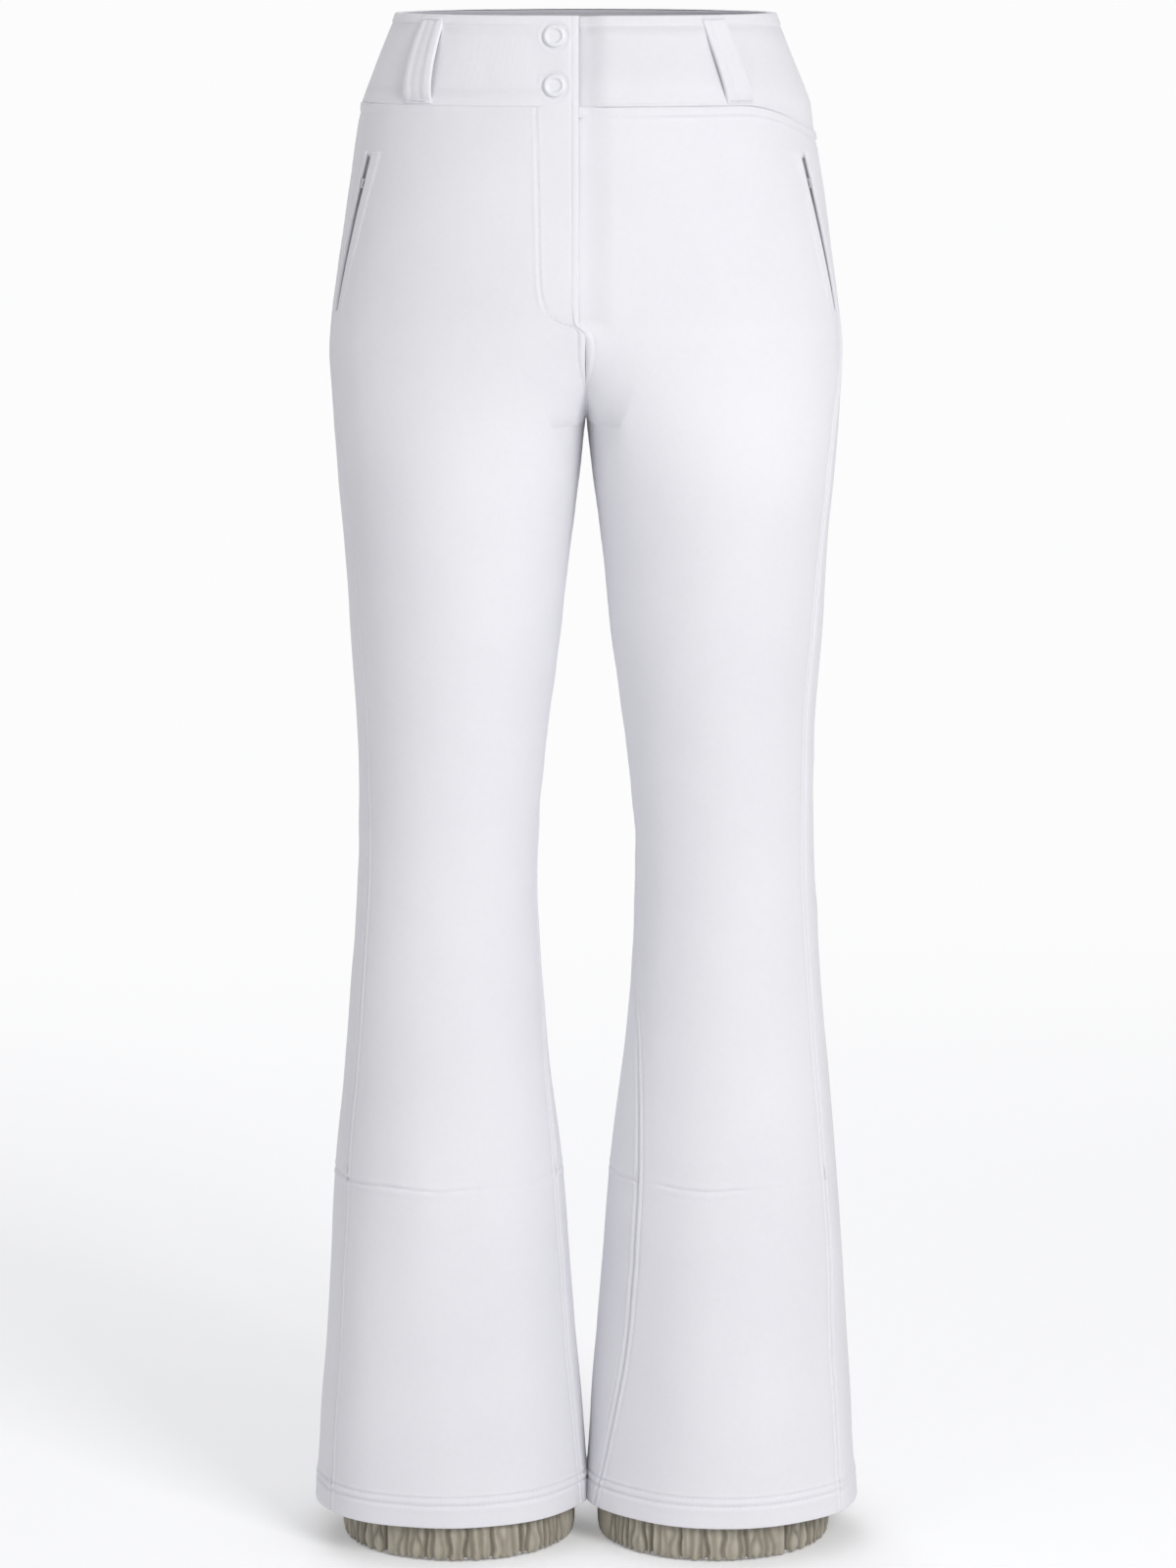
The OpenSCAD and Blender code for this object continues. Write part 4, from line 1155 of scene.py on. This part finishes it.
def gaiter_cuff(sign, side):
    """Elastic casing: a closed tube of cloth round the elastic, gathered all the way round."""
    cols = 1500
    th = np.arange(cols) / cols
    turn = np.array(
        [(1.2, 0), (0.35, 0.6), (0.05, 1.8)]
        + [(0, h) for h in (3, 4.2, 5.4, 7, 9, 11, 13, 15, 17, 19, 20.6, 21.8, 23)]
        + [(0.05, 24.2), (0.35, 25.4), (1.2, 26), (2.3, 25.6), (2.9, 24.4)]
        + [(3.1, h) for h in (22, 18, 13, 8, 4)] + [(2.9, 1.6), (2.3, 0.4)]
    )
    inward, height = turn[:, 0][:, None], turn[:, 1][:, None]
    v = height / CUFF_H
    g = gather(th[None, :], v)
    stitched = bell(height - 3.0, 0.9) + bell(height - 22.6, 0.9)
    amp = 3.1 * (1 - 0.5 * stitched) * (0.5 + 0.5 * np.sin(math.pi * np.clip(v, 0, 1)) ** 0.5)
    outside = (inward < 1.5)
    puff = 1.6 * np.sin(math.pi * np.clip(v, 0, 1)) ** 0.6
    r = CUFF_R + 0.3 - inward + np.where(outside, puff - amp * (1 - g), 0.4 * (1 - g))
    r = r - 0.5 * np.where(outside, stitched, 0)
    across = ((th[None, :] - 0.045) * CUFF_ROUND + CUFF_ROUND / 2) % CUFF_ROUND - CUFF_ROUND / 2
    tab = ridge(across, -9.0, 9.0, 2.0)
    slit = bell(across - 5.5, 0.7)
    r = r + tab * np.where(outside, amp * (1 - g) * 0.9 - 0.3 - 1.5 * slit, 0)
    wob = 0.45 * np.sin(5 * th[None, :] * 2 * math.pi + 0.7) * np.where((height < 2) | (height > 24), 1, 0.4)
    ang = th[None, :] * 2 * math.pi
    z = height + wob * (height > 12) * 0.9
    z = z + (1 - g) * (1 - tab) * (1.6 * (1 - smooth(height / 5)) - 1.2 * smooth((height - 21) / 5))
    z = np.clip(z, 0.0, 27.0)
    p = np.stack([CUFF_X - r * np.cos(ang), -r * np.sin(ang), z], -1)
    rows = len(turn)
    j, i = np.meshgrid(np.arange(rows), np.arange(cols), indexing="ij")
    j, i = j.ravel(), i.ravel()
    corners = ((0, 0), (0, 1), (1, 1), (1, 0))
    q = np.stack([(j + b) % rows * cols + (i + a) % cols for b, a in corners], 1)
    path = run_along(np.concatenate([turn, turn[:1]])) * MM
    step = CUFF_ROUND * MM / cols
    uv = np.stack([np.stack([th[i] * CUFF_ROUND * MM + a * step, path[j + b]], 1) for b, a in corners], 1)
    verts = p.reshape(-1, 3)
    if sign < 0:
        verts = verts * [-1, 1, 1]
        q, uv = q[:, ::-1], uv[:, ::-1]
    casing = make_object(f"gaiter_casing_{side}", verts, q.tolist(), [TAFFETA], None, uv.reshape(-1, 2), 60)
    # Painted shade for the hollows of the casing's gathers, none on the flat tab.
    mark_painted_fold_shade(casing, ((1 - g) * (1 - tab)).ravel())
    return casing


def gaiter_sleeve(sign, side):
    """Cloth between the casing and the leg's inside, gathered at the casing and wrinkled higher up."""
    low, cols = 22.5, 720
    rows = np.concatenate([np.linspace(low, 60, 26), np.linspace(66, BOOT, 30)])
    z, t2 = np.meshgrid(rows, np.arange(cols) / cols, indexing="ij")
    share = (z - low) / (BOOT - low)
    top = leg_ring_at(t2, z, 4.4)
    g = gather(t2, 0.9)
    r = CUFF_R - 1.5 - 1.5 * np.exp(-(z - low) / 26) * (1 - g)
    ang = t2 * 2 * math.pi
    foot = np.stack([CUFF_X - r * np.cos(ang), -r * np.sin(ang), z], -1)
    p = lerp(foot, top, smooth(share)[..., None])
    n = np.stack([-np.cos(ang), -np.sin(ang), 0 * ang], -1)
    d = np.sin(math.pi * np.clip(share, 0, 1)) * (1.6 * soft_noise(p, (30, 60), 51 + sign) - 1.8)
    out = p + n * d[..., None]
    name = f"gaiter_sleeve_cloth_{side}"
    sleeve = sheet(name, out, out - n * 0.5, [TAFFETA], flip=sign < 0, wrap=True, sharp=60)
    # Painted shade for the gathers' hollows, fading up the sleeve from the casing.
    deep = 0.8 * ((1 - g) * np.exp(-(z - low) / 14)).ravel()
    mark_painted_fold_shade(sleeve, np.concatenate([deep, deep]))
    return sleeve


def hem_turn_up(sign, side):
    """Folded-in edge of the leg, lying against its inside."""
    rows = np.concatenate([[26.2, 26.6, 27.2], np.linspace(28.5, 41, 8), [42.3, 42.9, 43.4]])
    z, th = np.meshgrid(rows, np.arange(360) / 360, indexing="ij")
    p = leg_ring_at(th, z, SHELL_T + 0.7)
    n = grid_normals(p, True)
    rim = roll(np.minimum(z - rows[0], rows[-1] - z))
    out = p + n * (drape(p, th * 2, sign) - 0.5 * rim)[..., None]
    inn = out - n * (1.1 - 0.3 * rim)[..., None]
    return sheet(f"hem_turn_up_{side}", out, inn, [SHELL], flip=sign < 0, wrap=True)


for side, sign in SIDES:
    stand_for(gaiter_cuff(sign, side), "gaiter_taffeta", "gaiter_cuff_" + side, body="gaiter_" + side)
    sleeve = gaiter_sleeve(sign, side)
    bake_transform(sleeve)
    stand_for(sleeve, "gaiter_taffeta", "gaiter_sleeve_" + side)
    stand_for(hem_turn_up(sign, side), "shell", "hem_fold_" + side, body="shin_" + side)


# ------------ fly shield behind the zip

rows = levels(883, 1029, [(883, 2, 0.5), (1029, 2, 0.5)], 5)
across = np.concatenate([[0, 0.01, 0.03, 0.06], np.linspace(0.1, 0.9, 14), [0.94, 0.97, 0.99, 1]])
z, x = np.meshgrid(rows, lerp(-40.0, 12.0, across), indexing="ij")
p = waist(angle_at(x, z), z, 15.0)
n = grid_normals(p, False)
d = 0.5 * soft_noise(p, (30, 60), 61)
shield = sheet("fly_shield_cloth", p + n * d[..., None], p + n * (d - 0.9)[..., None], [LINING, LINING])
stand_for(shield, "lining", "fly_shield", body="hips")

# ------------ CAD nodes that stay

FINISH = {
    "elastic": ELASTIC, "zip_metal": METAL, "zip_tape": TAPE, "zip_teeth": TEETH,
    "lining": LINING, "shell": SHELL, "gaiter_taffeta": TAFFETA, "snap_plastic": ENAMEL,
}
slots = {s["node"]: s["material_slot"] for s in frame["record"]["subparts"]}
for name, obj in frame["nodes"].items():
    if not obj.hide_render:
        obj.data.materials.clear()
        obj.data.materials.append(FINISH[slots[name]])

# ------------ floor, light and camera

FLOOR_HALF, FLOOR_Z = 60, -0.0005
floor_mesh = bpy.data.meshes.new("floor")
corners = [(x * FLOOR_HALF, y * FLOOR_HALF, FLOOR_Z) for x, y in ((-1, -1), (1, -1), (1, 1), (-1, 1))]
floor_mesh.from_pydata(corners, [], [(0, 1, 2, 3)])
placed("floor", floor_mesh)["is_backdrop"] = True

# Near the pants the floor is lit; far away the camera sees it evenly pale.
m, nt, b = node_material("floor")
tune(b, Roughness=0.9, Base_Color=(0.86, 0.86, 0.87, 1), Specular_IOR_Level=0.1, Emission_Color=(1, 1, 1, 1))
seen = add(nt, "ShaderNodeLightPath")
place = object_place(nt)
away = add(nt, "ShaderNodeVectorMath", operation="LENGTH")
nt.links.new(place, away.inputs[0])
far = add(nt, "ShaderNodeMapRange", interpolation_type="SMOOTHSTEP", From_Min=0.7, From_Max=2.6)
link(nt, away.outputs["Value"], far, "Value")
speck = maths(nt, "MULTIPLY", noise(nt, place, 60, 2, 0.5), 0.02)
near_glow = scaled(nt, seen.outputs["Is Camera Ray"], 0.20, speck)
link(nt, near_glow, b, "Emission Strength")
ground = add(nt, "ShaderNodeEmission", Color=(0.975, 0.975, 0.98, 1))
blend_in = add(nt, "ShaderNodeMixShader")
pale = maths(nt, "MULTIPLY", far.outputs["Result"], seen.outputs["Is Camera Ray"])
link(nt, pale, blend_in, "Fac")
nt.links.new(b.outputs["BSDF"], blend_in.inputs[1])
nt.links.new(ground.outputs["Emission"], blend_in.inputs[2])
nt.links.new(blend_in.outputs["Shader"], nt.nodes["Material Output"].inputs["Surface"])
floor_mesh.materials.append(m)

world = bpy.data.worlds.new("studio")
bpy.context.scene.world = world
world.use_nodes = True
wt = world.node_tree
back = wt.nodes["Background"]
path = add(wt, "ShaderNodeLightPath")
level = add(wt, "ShaderNodeMath", operation="MULTIPLY_ADD")
level.inputs[1].default_value = 0.40  # more for the camera than for the light on the cloth
level.inputs[2].default_value = 0.57
wt.links.new(path.outputs["Is Camera Ray"], level.inputs[0])
link(wt, level.outputs[0], back, "Strength")
tune(back, Color=(0.98, 0.985, 1.0, 1))


def area_light(name, place, aim, size, watts, colour):
    data = bpy.data.lights.new(name, "AREA")
    data.shape = "RECTANGLE"
    data.size, data.size_y = size
    data.energy = watts
    data.color = colour
    obj = placed(name, data)
    obj.location = place
    obj.rotation_euler = (Vector(aim) - Vector(place)).to_track_quat("-Z", "Y").to_euler()


area_light("key", (1.9, -3.0, 2.3), (0, 0, 0.75), (1.4, 1.6), 68, (1, 0.997, 0.99))
area_light("fill", (-2.4, -2.6, 1.4), (0, 0, 0.5), (1.8, 1.8), 7, (0.97, 0.98, 1))
area_light("rear", (-0.8, 3.0, 2.6), (0, 0, 0.8), (2.0, 1.6), 26, (0.98, 0.99, 1))

# Metres: the camera's place, the height that the frame holds at the pants and the height in its middle.
EYE_X, EYE_Z, EYE_AWAY, FRAME_H, AIM_Z = 0.0014, 1.20, 4.0, 1.136, 0.5382
cam_data = bpy.data.cameras.new("camera")
cam_data.sensor_width = 36
cam_data.lens = 36 * EYE_AWAY / FRAME_H
cam = placed("camera", cam_data)
cam.location = (EYE_X, -EYE_AWAY, EYE_Z)
cam.rotation_euler = (math.pi / 2, 0, 0)
bpy.context.scene.camera = cam

# The lens is shifted down, as on a studio camera, so the legs stay parallel. The shift holds only
# while the camera stands at its own place; any other view is unshifted.
drive = cam_data.driver_add("shift_y").driver
drive.type = "SCRIPTED"
for key, kind in (("side", "LOC_X"), ("away", "LOC_Y"), ("tilt", "ROT_X")):
    var = drive.variables.new()
    var.name = key
    var.type = "TRANSFORMS"
    var.targets[0].id = cam
    var.targets[0].transform_type = kind
    var.targets[0].transform_space = "WORLD_SPACE"
shift = (AIM_Z - EYE_Z) / FRAME_H
drive.expression = (
    f"{shift:.5f} * (abs(side - {EYE_X}) < 0.001) * (abs(away + {EYE_AWAY}) < 0.001)"
    " * (abs(tilt - 1.5708) < 0.001)"
)

view = bpy.context.scene.view_settings
view.view_transform = "Standard"
view.look = "None"
view.exposure = 0.0

low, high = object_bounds()
